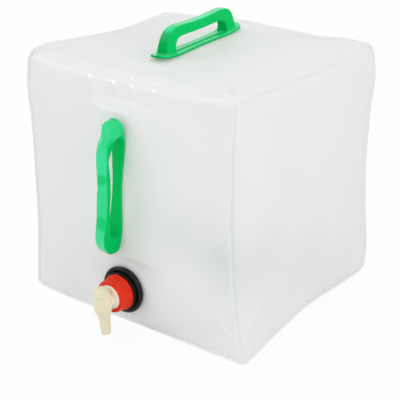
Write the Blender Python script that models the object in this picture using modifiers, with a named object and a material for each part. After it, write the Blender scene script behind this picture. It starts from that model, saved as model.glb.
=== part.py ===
"""Collapsible water carrier: a welded film cube with two grips and a turning tap.

Units are metres and +Z is up. The origin is on the floor, under the middle of the cube. The tap and one
grip are on the front, which faces -Y, and the other grip is on top. The film's six walls share one shape
function, so their edges meet wherever the sizes put them.
"""
import math
from collections import namedtuple

import bmesh
import bpy
import numpy as np
from mathutils import Matrix, Vector

# The cube of film, from corner to corner
BODY_WIDTH = 0.277
BODY_DEPTH = 0.257
BODY_HEIGHT = 0.273
RIM_LIFT = 0.002
FILM_WALL = 0.0008
SIDE_BULGE = 0.009
FRONT_BULGE = 0.010
BACK_BULGE = 0.009
TOP_BULGE = 0.006
EDGE_DRAW = 0.010
CORNER_PULL = 0.007
FOLD_RADIUS = 0.012
CREASE_RADIUS = 0.0045
WELD_RADIUS = 0.004
CORNER_RADIUS = 0.013
FOLD_GAP = 0.0006
BASE_FLAT_WIDTH = 0.170
BASE_FLAT_DEPTH = 0.150
BASE_BLEND = 0.035

# The welded margin that stands out along the seam between the two half shells
SEAM_WIDTH = 0.0030
SEAM_THICKNESS = 0.0016
SEAM_GAP = 0.0003

# Gap between pieces that touch on the real thing, and how far a cutter runs past what it cuts
SEAT_GAP = 0.0003
CUT_OVERRUN = 0.0010

# The grips, alike but for their lengths and how the upper leg of the front one has slackened
FRONT_GRIP_LENGTH = 0.1490
FRONT_FOOT_SHARE = 0.953
FRONT_GRIP_RISE = 0.0280
FRONT_FOOT_WIDTH = 0.0132
FRONT_END_WIDTH = 0.0184
FRONT_WAIST_WIDTH = 0.0112
FRONT_END_LIFT = 0.0075
FRONT_GRIP_SLACK = 0.0100
SLACK_START_SHARE = 0.35
TOP_GRIP_LENGTH = 0.1560
TOP_FOOT_SHARE = 0.853
TOP_GRIP_RISE = 0.0296
TOP_FOOT_WIDTH = 0.0150
TOP_END_WIDTH = 0.0204
TOP_WAIST_WIDTH = 0.0152
TOP_END_LIFT = 0.0040
GRIP_BAR_WIDTH = 0.0105
GRIP_FOOT_FADE_SHARE = 0.8
GRIP_FOOT_FADE_POWER = 1.5
GRIP_SECTION_POINTS = 16
GRIP_SECTION_POWER = 0.5
PLATE_THICKNESS = 0.0024
PLATE_LIFT_START_SHARE = 0.43
PLATE_END_STEPS = 6
PLATE_RUN_STEPS = 10
PLATE_RIB_WIDTH = 0.0036
PLATE_RIB_HEIGHT = 0.0012
FRONT_GRIP_ROOM_SHARE = 0.307
FRONT_GRIP_OUT = 0.0108
FRONT_GRIP_SIDE = -0.0024
FRONT_GRIP_LEAN = math.radians(4.4)
FRONT_GRIP_TILT = math.radians(0.4)
TOP_GRIP_PLACE = -0.0100
TOP_GRIP_OUT = 0.0058
TOP_GRIP_LEAN = math.radians(4.0)
TOP_GRIP_TILT = math.radians(1.1)
SEAT_MARGIN = 0.0015
SEAT_BLEND = 0.030
SEAT_END_BLEND = 0.012

# The tap, along its own axis from the outside of the film
TAP_HEIGHT = 0.0440
TAP_OUT = 0.0060
NECK_BORE = 0.0272
NECK_TUBE = 0.0332
NECK_TAIL = 0.0095
NECK_HOLE_CLEARANCE = 0.0006
GASKET_WIDTH = 0.0070
GASKET_THICKNESS = 0.0010
RING_DIAMETER = 0.0520
RING_BEAD = 0.0050
STEP_DIAMETER = 0.0424
STEP_HEIGHT = 0.0088
COLLAR_DIAMETER = 0.0392
COLLAR_FRONT_DIAMETER = 0.0352
COLLAR_OPENING = 0.0268
COLLAR_LENGTH = 0.0150
COLLAR_LIP = 0.0020
COLLAR_HEM = 0.0013
COLLAR_CLEARANCE = 0.0003
COLLAR_ROUND = 0.0010
COLLAR_CURVE_POWER = 2.6
COLLAR_LINE_SHARES = (1.0, 0.85, 0.68, 0.45, 0.05)
PORT_DISC_THICKNESS = 0.0017
PORT_PLUG_LENGTH = 0.0093
PORT_PLUG_WALL = 0.0033
PORT_PLUG_CLEARANCE = 0.0004
O_RING_THICKNESS = 0.0017
O_RING_PLACE = 0.0048
SEAL_THICKNESS = 0.0009
PORT_DIAMETER = 0.0056
PORT_OFFSET = 0.0044
NUT_THICKNESS = 0.0062
NUT_ACROSS_CORNERS = 0.0480
NUT_BEVEL = 0.0008

# The spigot, along the tap's axis and then down its spout
SPIGOT_FLANGE_THICKNESS = 0.0017
BOSS_PROUD = 0.0012
BARREL_DIAMETER = 0.0136
BARREL_DROP = 0.0025
SPOUT_OUT = 0.0112
SPOUT_LENGTH = 0.0360
SPOUT_BODY_DIAMETER = 0.0190
SPOUT_TOP = 0.0062
SPOUT_SHOULDER = 0.0080
SPOUT_WAIST = 0.0188
SPOUT_WAIST_DIAMETER = 0.0122
SPOUT_TIP_DIAMETER = 0.0104
SPOUT_TAPER_SHARE = 0.38
SPOUT_BORE = 0.0072
SPOUT_LEAN = math.radians(6.5)
CAP_DIAMETER = 0.0182
CAP_HEIGHT = 0.0094
CAP_ROUND = 0.0062
CAP_PLUG_DEPTH = 0.0022

# Faces of the cube, as the axis that each looks along and the way it looks
FACES = {
    name: (i // 2, 1 - i % 2 * 2)
    for i, name in enumerate(("right", "left", "back", "front", "top", "bottom"))
}

# Each edge's two faces, how it is made, and how much of EDGE_DRAW its middle is drawn in from each face
EDGE_SHARES = (
    ("front", "left", "weld", 0.00, 0.00),
    ("left", "top", "weld", 0.00, 0.00),
    ("top", "back", "weld", 0.00, 0.00),
    ("back", "right", "weld", 0.00, 0.00),
    ("right", "bottom", "weld", 0.00, 0.25),
    ("bottom", "front", "weld", 0.10, 0.00),
    ("front", "right", "crease", 0.15, 1.00),
    ("front", "top", "fold", 0.20, 0.25),
    ("top", "right", "fold", 0.25, 0.25),
    ("left", "back", "fold", 0.40, 0.40),
    ("left", "bottom", "fold", 0.40, 0.30),
    ("back", "bottom", "fold", 0.40, 0.30),
)

# How far each welded edge stands out of its two faces at even steps along it, in shares of EDGE_DRAW. The
# bottom face stays level.
WELD_LINE_SHARES = {
    ("front", "left"): (0.09, -0.16, -0.33, -0.37, -0.37, -0.34, -0.24, 0.00, 0.01),
    ("left", "top"): (-0.09, 0.06, -0.12, -0.30, -0.43, -0.48, -0.37, -0.11, 0.31),
    ("top", "back"): (-0.20, -0.25, -0.08, 0.04, -0.08, -0.15, -0.23, 0.05, 0.07),
    ("back", "right"): (0.45, 0.28, -0.03, -0.18, -0.28, -0.23, -0.11, 0.16, 0.08),
    ("right", "bottom"): (0.21, 0.14, -0.07, -0.25, -0.45, -0.48, -0.38, -0.31, -0.33),
    ("bottom", "front"): (0.33, 0.15, 0.05, 0.06, 0.07, 0.04, 0.02, 0.04, 0.05),
}
WELD_LINE_STEPS = 16

# Which way each corner is pulled along X, Y and Z, in shares of CORNER_PULL
CORNER_SHARES = {
    (-1, -1, 1): (0.25, 0.30, 0.35),
    (-1, -1, -1): (-0.20, 0.50, 0.00),
    (1, -1, -1): (1.00, 0.15, 0.00),
    (1, 1, -1): (0.20, 0.00, 0.00),
    (1, 1, 1): (-0.40, -0.20, -0.10),
    (1, -1, 1): (-0.54, -0.50, 0.00),
    (-1, 1, 1): (-0.75, -0.60, -0.20),
    (-1, 1, -1): (0.00, 0.00, 0.00),
}

# The corners that the filling rounds, in shares of CORNER_RADIUS, and how strongly and how near it acts
CORNER_ROUND_SHARES = {
    (-1, -1, -1): 1.00,
    (-1, -1, 1): 1.00,
    (-1, 1, 1): 0.77,
    (1, 1, 1): 1.00,
    (1, 1, -1): 1.00,
}
CORNER_ROUND_WEIGHT = 6
CORNER_ROUND_POWER = 12

# The seam's way round the cube, corner by corner
SEAM_CORNERS = ((-1, -1, -1), (-1, -1, 1), (-1, 1, 1), (1, 1, 1), (1, 1, -1), (1, -1, -1))

# Where a wall's mesh lines run, in shares of half its side
WALL_LINE_SHARES = (0.0, 0.36, 0.66, 0.86, 0.93, 0.972)
SEAT_LINE_SPACING_SHARE = 0.06
EDGE_LINE_SPACING_SHARE = 0.008

# One half of a grip from its foot to its middle: the bar's outer and inner side, each in shares of half
# the foot span and of the rise
GRIP_HALF_SHARES = (
    (1.000, 0.000, 0.728, 0.000),
    (0.977, 0.164, 0.725, 0.164),
    (0.944, 0.334, 0.712, 0.317),
    (0.897, 0.522, 0.683, 0.433),
    (0.843, 0.693, 0.638, 0.512),
    (0.764, 0.843, 0.575, 0.556),
    (0.659, 0.956, 0.494, 0.570),
    (0.524, 1.000, 0.390, 0.567),
    (0.330, 0.962, 0.255, 0.556),
    (0.150, 0.932, 0.120, 0.549),
    (0.000, 0.925, 0.000, 0.546),
)

TURN_STEPS = 36
BOSS_STEPS = 32
SPOUT_STEPS = 28
BARREL_STEPS = 24
BORE_STEPS = 20
PORT_STEPS = 16
FILM_COLOUR = (0.86, 0.87, 0.88, 1.0)
GREEN = (0.0, 0.52, 0.16, 1.0)
BLACK = (0.028, 0.030, 0.034, 1.0)
RED = (0.83, 0.035, 0.012, 1.0)
CREAM = (0.84, 0.80, 0.62, 1.0)
RUBBER = (0.06, 0.06, 0.06, 1.0)
NATURAL = (0.80, 0.80, 0.76, 1.0)

HALF = np.array((BODY_WIDTH, BODY_DEPTH, BODY_HEIGHT)) / 2

# What makes one grip: its sizes, and how far its upper leg has slackened
Grip = namedtuple("Grip", "length foot_share rise foot_width end_width waist_width end_lift slack")

# The front grip stands in the room between the tap's ring and the top edge
RING_TOP = TAP_HEIGHT + RING_DIAMETER / 2
FRONT_GRIP_ROOM = RIM_LIFT + BODY_HEIGHT - RING_TOP - FRONT_GRIP_LENGTH
FRONT_GRIP_HEIGHT = RING_TOP + FRONT_GRIP_ROOM_SHARE * FRONT_GRIP_ROOM + FRONT_GRIP_LENGTH / 2


def clear_scene():
    """Remove what the file opened with."""
    for obj in list(bpy.data.objects):
        bpy.data.objects.remove(obj, do_unlink=True)


def make_collection(name):
    """A collection linked to the scene."""
    found = bpy.data.collections.new(name)
    bpy.context.scene.collection.children.link(found)
    return found


def material(name, colour, roughness, metallic=0.0):
    """A plain Principled material."""
    made = bpy.data.materials.new(name)
    made.use_nodes = True
    shader = made.node_tree.nodes["Principled BSDF"]
    shader.inputs["Base Color"].default_value = colour
    shader.inputs["Roughness"].default_value = roughness
    shader.inputs["Metallic"].default_value = metallic
    made.diffuse_color = colour
    return made


def add_mesh(name, bm, collection, finish=None, parent=None):
    """Turn a bmesh into a smooth-shaded object."""
    mesh = bpy.data.meshes.new(name)
    bm.to_mesh(mesh)
    bm.free()
    mesh.shade_smooth()
    obj = bpy.data.objects.new(name, mesh)
    collection.objects.link(obj)
    if finish:
        mesh.materials.append(finish)
    if parent:
        obj.parent = parent
    if collection == CUTTERS:
        obj.hide_render = True
        obj.display_type = "WIRE"
    return obj


def add_empty(name, place, parent=None):
    """An empty that carries pieces."""
    empty = bpy.data.objects.new(name, None)
    CARRIER.objects.link(empty)
    empty.parent = parent
    empty.matrix_world = place
    return empty


def boolean(obj, other, operation):
    """Cut or join obj with another solid."""
    step = obj.modifiers.new(f"{operation.title()} {other.name}", "BOOLEAN")
    step.operation = operation
    step.object = other
    step.solver = "EXACT"
    return step


def smooth_step(t):
    """0 to 1 with level ends."""
    t = np.clip(t, 0.0, 1.0)
    return t * t * (3 - 2 * t)


def front_seat(z):
    """How far out the flat under the front grip lies at height z."""
    return HALF[1] + FRONT_GRIP_OUT + math.tan(FRONT_GRIP_TILT) * (z - FRONT_GRIP_HEIGHT)


def top_seat(y):
    """How high the flat under the top grip lies at depth y."""
    level = RIM_LIFT + BODY_HEIGHT + TOP_GRIP_OUT
    return level + math.tan(TOP_GRIP_TILT) * (y - TOP_GRIP_PLACE)


def grip_reach(length, end_width, lean):
    """Half the length and half the width of the flat that a leaning grip needs."""
    half = length / 2
    return half + SEAT_MARGIN, end_width / 2 + half * math.sin(abs(lean)) + SEAT_MARGIN


def flats():
    """The flat places of the film: face, middle and half size across it, blend widths, and its level."""
    front_length, front_width = grip_reach(FRONT_GRIP_LENGTH, FRONT_END_WIDTH, FRONT_GRIP_LEAN)
    top_length, top_width = grip_reach(TOP_GRIP_LENGTH, TOP_END_WIDTH, TOP_GRIP_LEAN)
    ring = RING_DIAMETER / 2 + SEAT_MARGIN
    tap_level = HALF[1] + TAP_OUT
    blends = (SEAT_BLEND, SEAT_END_BLEND)
    front_middle = (FRONT_GRIP_SIDE, FRONT_GRIP_HEIGHT)
    base_half = (BASE_FLAT_WIDTH / 2, BASE_FLAT_DEPTH / 2)
    return (
        ("front", front_middle, (front_width, front_length), blends, lambda x, z: -front_seat(z)),
        ("front", (0, TAP_HEIGHT), (ring, ring), blends, lambda x, z: -tap_level),
        ("top", (0, TOP_GRIP_PLACE), (top_width, top_length), blends, lambda x, y: top_seat(y)),
        ("bottom", (0, 0), base_half, (BASE_BLEND, BASE_BLEND), lambda x, y: 0),
    )


def film(cube):
    """The film's outer surface and its outward direction, for points of a cube that runs from -1 to 1.

    The cube is scaled to size, its edges are rounded, and some corners more. Each edge is then drawn in
    at its middle, and each welded edge waves as its line says. Each face bulges by the product of two
    parabolas, each corner is pulled, and the seats are made flat.
    """
    cube = np.asarray(cube, dtype=float)
    radii = {"weld": WELD_RADIUS, "crease": CREASE_RADIUS, "fold": FOLD_RADIUS}
    nearness = np.full(len(cube), 1e-6)
    radius = nearness * FOLD_RADIUS
    for first, second, kind, *_ in EDGE_SHARES:
        near = (toward(cube, first) * toward(cube, second)) ** 8
        radius = radius + near * radii[kind]
        nearness = nearness + near
    for corner, share in CORNER_ROUND_SHARES.items():
        near = np.prod(np.clip(cube * np.array(corner), 0, 1), axis=1) ** CORNER_ROUND_POWER
        radius = radius + CORNER_ROUND_WEIGHT * near * share * CORNER_RADIUS
        nearness = nearness + CORNER_ROUND_WEIGHT * near
    radius = (radius / nearness)[:, None]
    sized = cube * HALF
    core = np.clip(sized, radius - HALF, HALF - radius)
    outward = sized - core
    outward = outward / np.linalg.norm(outward, axis=1, keepdims=True)
    place = core + radius * outward

    crown = 1 - cube**2
    for first, second, _, *draws in EDGE_SHARES:
        along = 3 - FACES[first][0] - FACES[second][0]
        near = (toward(cube, first) * toward(cube, second)) ** 4 * crown[:, along]
        for face, draw in zip((first, second), draws):
            axis, way = FACES[face]
            place[:, axis] -= way * draw * EDGE_DRAW * near
    for (first, second), line in WELD_LINE_SHARES.items():
        along = 3 - FACES[first][0] - FACES[second][0]
        near = (toward(cube, first) * toward(cube, second)) ** 4
        fine = catmull_rom(np.array(line)[:, None], WELD_LINE_STEPS)[:, 0]
        out = np.interp(cube[:, along], np.linspace(-1, 1, len(fine)), fine)
        for face in {first, second} - {"bottom"}:
            axis, way = FACES[face]
            place[:, axis] += way * out * EDGE_DRAW * near
    bulges = {"right": SIDE_BULGE, "left": SIDE_BULGE, "front": FRONT_BULGE, "back": BACK_BULGE,
              "top": TOP_BULGE}
    for face, bulge in bulges.items():
        axis, way = FACES[face]
        across = crown[:, (axis + 1) % 3] * crown[:, (axis + 2) % 3]
        place[:, axis] += way * bulge * across * (toward(cube, face) >= 1)
    for corner, shares in CORNER_SHARES.items():
        near = np.prod((1 + cube * np.array(corner)) / 2, axis=1) ** 3
        place += near[:, None] * np.array(shares) * CORNER_PULL
    place[:, 2] += HALF[2] + RIM_LIFT

    for face, middle, half, blend, level in flats():
        axis, way = FACES[face]
        across = [i for i in range(3) if i != axis]
        off = [
            np.maximum(abs(place[:, i] - middle[k]) - half[k], 0) / blend[k] for k, i in enumerate(across)
        ]
        flat = (1 - smooth_step(np.hypot(*off))) * (toward(cube, face) >= 1)
        target = level(place[:, across[0]], place[:, across[1]])
        place[:, axis] += flat * (target - place[:, axis])
    return place, outward


def toward(cube, face):
    """1 on the named face, falling to 0 at the middle of the cube."""
    axis, way = FACES[face]
    return np.clip(cube[:, axis] * way, 0.0, 1.0)


def seat_lines(face, axis):
    """Where the flats of a face begin and end along an axis, in shares of half its side."""
    lines = []
    for name, middle, half, _, _ in flats():
        if name != face:
            continue
        across = [i for i in range(3) if i != FACES[face][0]]
        k = across.index(axis)
        shift = HALF[2] + RIM_LIFT if axis == 2 else 0
        lines += [(middle[k] + way * half[k] - shift) / HALF[axis] for way in (-1, 1)]
    return lines


def wall_lines(face, axis):
    """The mesh lines of a wall along one axis, with lines where its flats end and its borders trimmed."""
    start = -1 + border_trim(face, axis, -1)
    end = 1 - border_trim(face, axis, 1)
    seats = [
        line for line in seat_lines(face, axis)
        if start + SEAT_LINE_SPACING_SHARE / 2 < line < end - SEAT_LINE_SPACING_SHARE / 2
    ]
    plain = {way * share for share in WALL_LINE_SHARES for way in (-1, 1)}
    inner = [
        line for line in plain
        if start + EDGE_LINE_SPACING_SHARE < line < end - EDGE_LINE_SPACING_SHARE
        and all(abs(line - seat) > SEAT_LINE_SPACING_SHARE for seat in seats)
    ]
    return [start] + sorted(inner + seats) + [end]


def border_trim(face, axis, way):
    """How much a wall stops short of its border, in shares of half its side."""
    other = next(name for name, value in FACES.items() if value == (axis, way))
    kind = next(edge[2] for edge in EDGE_SHARES if {face, other} == set(edge[:2]))
    trim = SEAM_THICKNESS + 2 * SEAM_GAP if kind == "weld" else FOLD_GAP
    return trim / HALF[axis]


def mapped_grid(columns, rows, place):
    """A grid whose vertices go where place puts their column and row, both counted from 0."""
    bm = bmesh.new()
    bmesh.ops.create_grid(bm, x_segments=columns, y_segments=rows, size=1)
    spot = np.array([vert.co for vert in bm.verts])
    column = np.rint((spot[:, 0] + 1) / 2 * columns).astype(int)
    row = np.rint((spot[:, 1] + 1) / 2 * rows).astype(int)
    for vert, where in zip(bm.verts, place(column, row)):
        vert.co = where
    return bm


def make_wall(name, face, finish):
    """One wall of the film, as an open sheet with a wall thickness inward."""
    axis, way = FACES[face]
    first, second = ((axis + 1) % 3, (axis + 2) % 3) if way > 0 else ((axis + 2) % 3, (axis + 1) % 3)
    first_lines = np.array(wall_lines(face, first))
    second_lines = np.array(wall_lines(face, second))

    def place(column, row):
        cube = np.zeros((len(column), 3))
        cube[:, axis] = way
        cube[:, first] = first_lines[column]
        cube[:, second] = second_lines[row]
        return film(cube)[0]

    bm = mapped_grid(len(first_lines) - 1, len(second_lines) - 1, place)
    wall = add_mesh(name, bm, CARRIER, finish)
    shell = wall.modifiers.new("Wall", "SOLIDIFY")
    shell.thickness = FILM_WALL
    shell.offset = -1
    shell.use_even_offset = True
    return wall


def make_seam(finish):
    """The fused margin, a thin ribbon that runs round the cube's six welded edges."""
    stops = sorted({way * share for share in WALL_LINE_SHARES for way in (-1, 1)})
    share = (np.array([-1, *stops])[:, None] + 1) / 2
    spots = []
    for start, end in zip(SEAM_CORNERS, SEAM_CORNERS[1:] + SEAM_CORNERS[:1]):
        spots.append(np.array(start) + share * (np.array(end) - np.array(start)))
    edge, outward = film(np.concatenate(spots))
    count = len(edge)

    def place(column, row):
        out = np.where(row == 0, SEAM_GAP, SEAM_GAP + SEAM_WIDTH)[:, None]
        return edge[column % count] + out * outward[column % count]

    bm = mapped_grid(count, 1, place)
    bmesh.ops.remove_doubles(bm, verts=bm.verts, dist=SEAM_GAP / 10)
    seam = add_mesh("seam_margin", bm, CARRIER, finish)
    shell = seam.modifiers.new("Thickness", "SOLIDIFY")
    shell.thickness = SEAM_THICKNESS
    shell.offset = 0
    shell.use_even_offset = True
    return seam


def catmull_rom(points, steps):
    """A smooth curve through the points, with steps pieces between each two."""
    points = np.asarray(points, dtype=float)
    padded = np.concatenate([2 * points[:1] - points[1:2], points, 2 * points[-1:] - points[-2:-1]])
    t = np.linspace(0, 1, steps + 1)[:-1, None]
    runs = []
    for a, b, c, d in zip(padded, padded[1:], padded[2:], padded[3:]):
        runs.append(
            0.5 * (2 * b + (c - a) * t + (2 * a - 5 * b + 4 * c - d) * t**2 + (3 * b - a - 3 * c + d) * t**3)
        )
    return np.concatenate(runs + [points[-1:]])


def end_lift(along, grip):
    """How far a grip's plate has lifted from the film at a place along it: nothing until near its ends."""
    start = PLATE_LIFT_START_SHARE * grip.length / 2
    return grip.end_lift * np.clip((abs(along) - start) / (grip.length / 2 - start), 0, 1) ** 2


def make_grip_bar(name, grip):
    """The bowed bar of a grip with its two legs: a tube of rounded oblong sections.

    The sections follow the half table and its mirror image. Where the bar has slackened, its upper half
    sinks along the grip, and the more the further it stands out.
    """
    half_rows = [list(row) for row in GRIP_HALF_SHARES]
    rows = half_rows + [[-row[0], row[1], -row[2], row[3]] for row in half_rows[-2::-1]]
    rows = catmull_rom(rows, 2)
    foot = PLATE_THICKNESS / 2
    sides = []
    for place, height in ((rows[:, 0], rows[:, 1]), (rows[:, 2], rows[:, 3])):
        along = place * grip.foot_share * grip.length / 2
        sunk = smooth_step((height - SLACK_START_SHARE) / (1 - SLACK_START_SHARE))
        along = along - grip.slack * sunk * smooth_step((place + 1) / 2)
        rise = foot + height * (grip.rise - foot) + end_lift(along, grip)
        sides.append(np.stack([along, rise], axis=1))
    middle = (sides[0] + sides[1]) / 2
    reach = (sides[0] - sides[1]) / 2
    low = np.clip(1 - middle[:, 1] / grip.rise / GRIP_FOOT_FADE_SHARE, 0, 1) ** GRIP_FOOT_FADE_POWER
    width = (GRIP_BAR_WIDTH + (grip.foot_width - GRIP_BAR_WIDTH) * low) / 2
    turn = np.arange(GRIP_SECTION_POINTS) / GRIP_SECTION_POINTS * 2 * math.pi
    side = np.sign(np.cos(turn)) * abs(np.cos(turn)) ** GRIP_SECTION_POWER
    rise = np.sign(np.sin(turn)) * abs(np.sin(turn)) ** GRIP_SECTION_POWER

    def place(column, row):
        turned = row % GRIP_SECTION_POINTS
        along_rise = middle[column] + reach[column] * rise[turned][:, None]
        across = width[column] * side[turned]
        return np.stack([along_rise[:, 0], across, along_rise[:, 1]], axis=1)

    bm = mapped_grid(len(rows) - 1, GRIP_SECTION_POINTS, place)
    bmesh.ops.remove_doubles(bm, verts=bm.verts, dist=SEAT_GAP / 10)
    bmesh.ops.holes_fill(bm, edges=bm.edges, sides=0)
    bmesh.ops.recalc_face_normals(bm, faces=bm.faces)
    return add_mesh(name, bm, CUTTERS)


def make_strip(name, stations, widths, base, thickness, grip, collection, finish=None):
    """A strip along a grip that follows its plate's lifted ends, from its half widths at its stations."""

    def place(column, row):
        across = np.where(row == 0, -1, 1) * widths[column]
        return np.stack([stations[column], across, base + end_lift(stations[column], grip)], axis=1)

    bm = mapped_grid(len(stations) - 1, 1, place)
    bmesh.ops.remove_doubles(bm, verts=bm.verts, dist=SEAT_GAP / 10)
    strip = add_mesh(name, bm, collection, finish)
    shell = strip.modifiers.new("Thickness", "SOLIDIFY")
    shell.thickness = thickness
    shell.offset = 1
    return strip


def make_plate(name, grip, finish):
    """A grip's base plate: round ends, a narrower waist and ends that have lifted a little."""
    end = grip.end_width / 2
    reach = grip.length / 2 - end
    turn = np.linspace(0, math.pi / 2, PLATE_END_STEPS)
    run = np.linspace(-reach, reach, PLATE_RUN_STEPS + 1)
    narrow = (grip.end_width - grip.waist_width) / 2
    middle = end - narrow * (1 - smooth_step(abs(run) / reach))
    stations = np.concatenate([-reach - end * np.cos(turn[:-1]), run, reach + end * np.sin(turn[1:])])
    widths = np.concatenate([end * np.sin(turn[:-1]), middle, end * np.cos(turn[1:])])
    return make_strip(name, stations, widths, 0, PLATE_THICKNESS, grip, CARRIER, finish)


def make_rib(name, grip):
    """The raised rib along the middle of a grip's plate, which runs into both legs."""
    leg_middle = (GRIP_HALF_SHARES[1][0] + GRIP_HALF_SHARES[1][2]) / 2
    reach = leg_middle * grip.foot_share * grip.length / 2
    stations = np.linspace(-reach, reach, PLATE_RUN_STEPS + 1)
    widths = np.full(len(stations), PLATE_RIB_WIDTH / 2)
    height = PLATE_THICKNESS / 2 + PLATE_RIB_HEIGHT
    return make_strip(name, stations, widths, PLATE_THICKNESS / 2, height, grip, CUTTERS)


def make_grip(name, seat, grip):
    """One grip on its seat: the plate, its rib and the bar as one moulding."""
    moulding = make_plate(name, grip, material(name, GREEN, 0.35))
    moulding.parent = seat
    for part in (make_rib(f"{name}_rib", grip), make_grip_bar(f"{name}_bar", grip)):
        part.parent = seat
        boolean(moulding, part, "UNION")
    return moulding


def turned(name, profile, collection, finish=None, parent=None, steps=TURN_STEPS, closed=True):
    """A turned piece from its profile of radius and place along the axis, outer side first, going down."""
    bm = bmesh.new()
    verts = [bm.verts.new((radius, 0, along)) for radius, along in profile]
    for a, b in zip(verts, verts[1:]):
        bm.edges.new((a, b))
    if closed:
        bm.edges.new((verts[-1], verts[0]))
    piece = add_mesh(name, bm, collection, finish, parent)
    screw = piece.modifiers.new("Turn", "SCREW")
    screw.axis = "Z"
    screw.angle = 2 * math.pi
    screw.steps = steps
    screw.render_steps = steps
    screw.use_merge_vertices = True
    screw.merge_threshold = 0.00001
    screw.use_smooth_shade = True
    screw.use_normal_calculate = False
    return piece


def arc(centre, radius, start, end, count):
    """Points on an arc of a profile, between two angles in degrees, 90 being outward along the axis."""
    turn = np.radians(np.linspace(start, end, count))
    return [(centre[0] + radius * math.cos(t), centre[1] + radius * math.sin(t)) for t in turn]


def cylinder(name, radius, start, end, collection, parent=None, segments=24):
    """A round cutter along the local Z axis."""
    bm = bmesh.new()
    bmesh.ops.create_cone(
        bm, cap_ends=True, segments=segments, radius1=radius, radius2=radius, depth=end - start
    )
    bmesh.ops.translate(bm, verts=bm.verts, vec=(0, 0, (start + end) / 2))
    return add_mesh(name, bm, collection, None, parent)


def tap_levels():
    """Where each layer of the tap begins and ends along its axis."""
    flange = SEAT_GAP + GASKET_THICKNESS + SEAT_GAP
    step = flange + STEP_HEIGHT
    collar = step + COLLAR_CLEARANCE
    front = collar + COLLAR_LENGTH
    lip = front - COLLAR_LIP
    spigot = lip - SEAT_GAP - SPIGOT_FLANGE_THICKNESS
    seal = spigot - SEAT_GAP - SEAL_THICKNESS
    disc = seal - SEAT_GAP - PORT_DISC_THICKNESS
    mouth = disc - SEAT_GAP
    inner_gasket = -FILM_WALL - SEAT_GAP - GASKET_THICKNESS
    return {
        "flange": flange, "step": step, "collar": collar, "front": front, "lip": lip, "spigot": spigot,
        "seal": seal, "disc": disc, "mouth": mouth, "inner_gasket": inner_gasket,
        "nut": inner_gasket - SEAT_GAP,
    }


def make_neck(levels, axis):
    """The black fitting: a ring with a rounded bead, a step for the collar, and a tube through the film."""
    bore, tube, step, ring = (d / 2 for d in (NECK_BORE, NECK_TUBE, STEP_DIAMETER, RING_DIAMETER))
    bead = RING_BEAD / 2
    bead_middle = (ring - bead, levels["flange"] + bead)
    soft = SEAT_GAP
    profile = [
        (tube, levels["mouth"]),
        (tube, levels["step"]),
        (step - soft, levels["step"]),
        (step, levels["step"] - soft),
        (step, levels["flange"] + bead),
        *arc(bead_middle, bead, 135, -60, 7),
        (ring - bead, levels["flange"]),
        (tube, levels["flange"]),
        (tube, -NECK_TAIL),
        (bore, -NECK_TAIL),
        (bore, levels["mouth"]),
    ]
    return turned("neck_fitting", profile, CARRIER, material("neck_fitting", BLACK, 0.30), axis)


def make_gasket(name, start, axis):
    """A flat rubber ring on either side of the film."""
    inner = NECK_TUBE / 2 + NECK_HOLE_CLEARANCE
    outer = inner + GASKET_WIDTH
    end = start + GASKET_THICKNESS
    profile = [(outer, end), (outer, start), (inner, start), (inner, end)]
    return turned(name, profile, CARRIER, material(name, RUBBER, 0.75), axis)


def make_nut(levels, axis):
    """The six-sided nut that holds the neck from inside the film."""
    bm = bmesh.new()
    radius = NUT_ACROSS_CORNERS / 2
    bmesh.ops.create_cone(
        bm, cap_ends=True, segments=6, radius1=radius, radius2=radius, depth=NUT_THICKNESS
    )
    bmesh.ops.translate(bm, verts=bm.verts, vec=(0, 0, levels["nut"] - NUT_THICKNESS / 2))
    nut = add_mesh("back_nut", bm, CARRIER, material("back_nut", NATURAL, 0.45), axis)
    edge = nut.modifiers.new("Edge", "BEVEL")
    edge.width = NUT_BEVEL
    edge.segments = 1
    start = levels["nut"] - NUT_THICKNESS - CUT_OVERRUN
    end = levels["nut"] + CUT_OVERRUN
    bore = cylinder("nut_bore", NECK_TUBE / 2 + SEAT_GAP, start, end, CUTTERS, axis, TURN_STEPS)
    boolean(nut, bore, "DIFFERENCE")
    return nut


def make_port_disc(levels, axis):
    """The seat of the valve: a disc on the neck's mouth with a port and a plug that carries the o-ring."""
    rim = NECK_TUBE / 2 - SEAT_GAP
    plug = NECK_BORE / 2 - PORT_PLUG_CLEARANCE
    front = levels["disc"] + PORT_DISC_THICKNESS
    plug_end = levels["disc"] - PORT_PLUG_LENGTH
    ring_middle = levels["disc"] - O_RING_PLACE
    groove = O_RING_THICKNESS / 2 + SEAT_GAP
    groove_floor = NECK_BORE / 2 - 2 * SEAT_GAP - O_RING_THICKNESS
    hollow = plug - PORT_PLUG_WALL
    profile = [
        (0, front),
        (rim, front),
        (rim, levels["disc"]),
        (plug, levels["disc"]),
        (plug, ring_middle + groove),
        (groove_floor, ring_middle + groove),
        (groove_floor, ring_middle - groove),
        (plug, ring_middle - groove),
        (plug, plug_end),
        (hollow, plug_end),
        (hollow, levels["disc"] - SEAT_GAP),
        (0, levels["disc"] - SEAT_GAP),
    ]
    disc = turned("port_disc", profile, CARRIER, material("port_disc", NATURAL, 0.40), axis, closed=False)
    start = plug_end - CUT_OVERRUN
    port = cylinder("disc_port", PORT_DIAMETER / 2, start, front + CUT_OVERRUN, CUTTERS, axis, PORT_STEPS)
    port.location.y = -PORT_OFFSET
    boolean(disc, port, "DIFFERENCE")
    return disc


def make_o_ring(levels, axis):
    """The ring that seals the port disc's plug in the neck."""
    radius = O_RING_THICKNESS / 2
    middle = (NECK_BORE / 2 - SEAT_GAP - radius, levels["disc"] - O_RING_PLACE)
    profile = arc(middle, radius, 90, -225, 8)
    return turned("neck_o_ring", profile, CARRIER, material("neck_o_ring", RUBBER, 0.6), axis)


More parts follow.
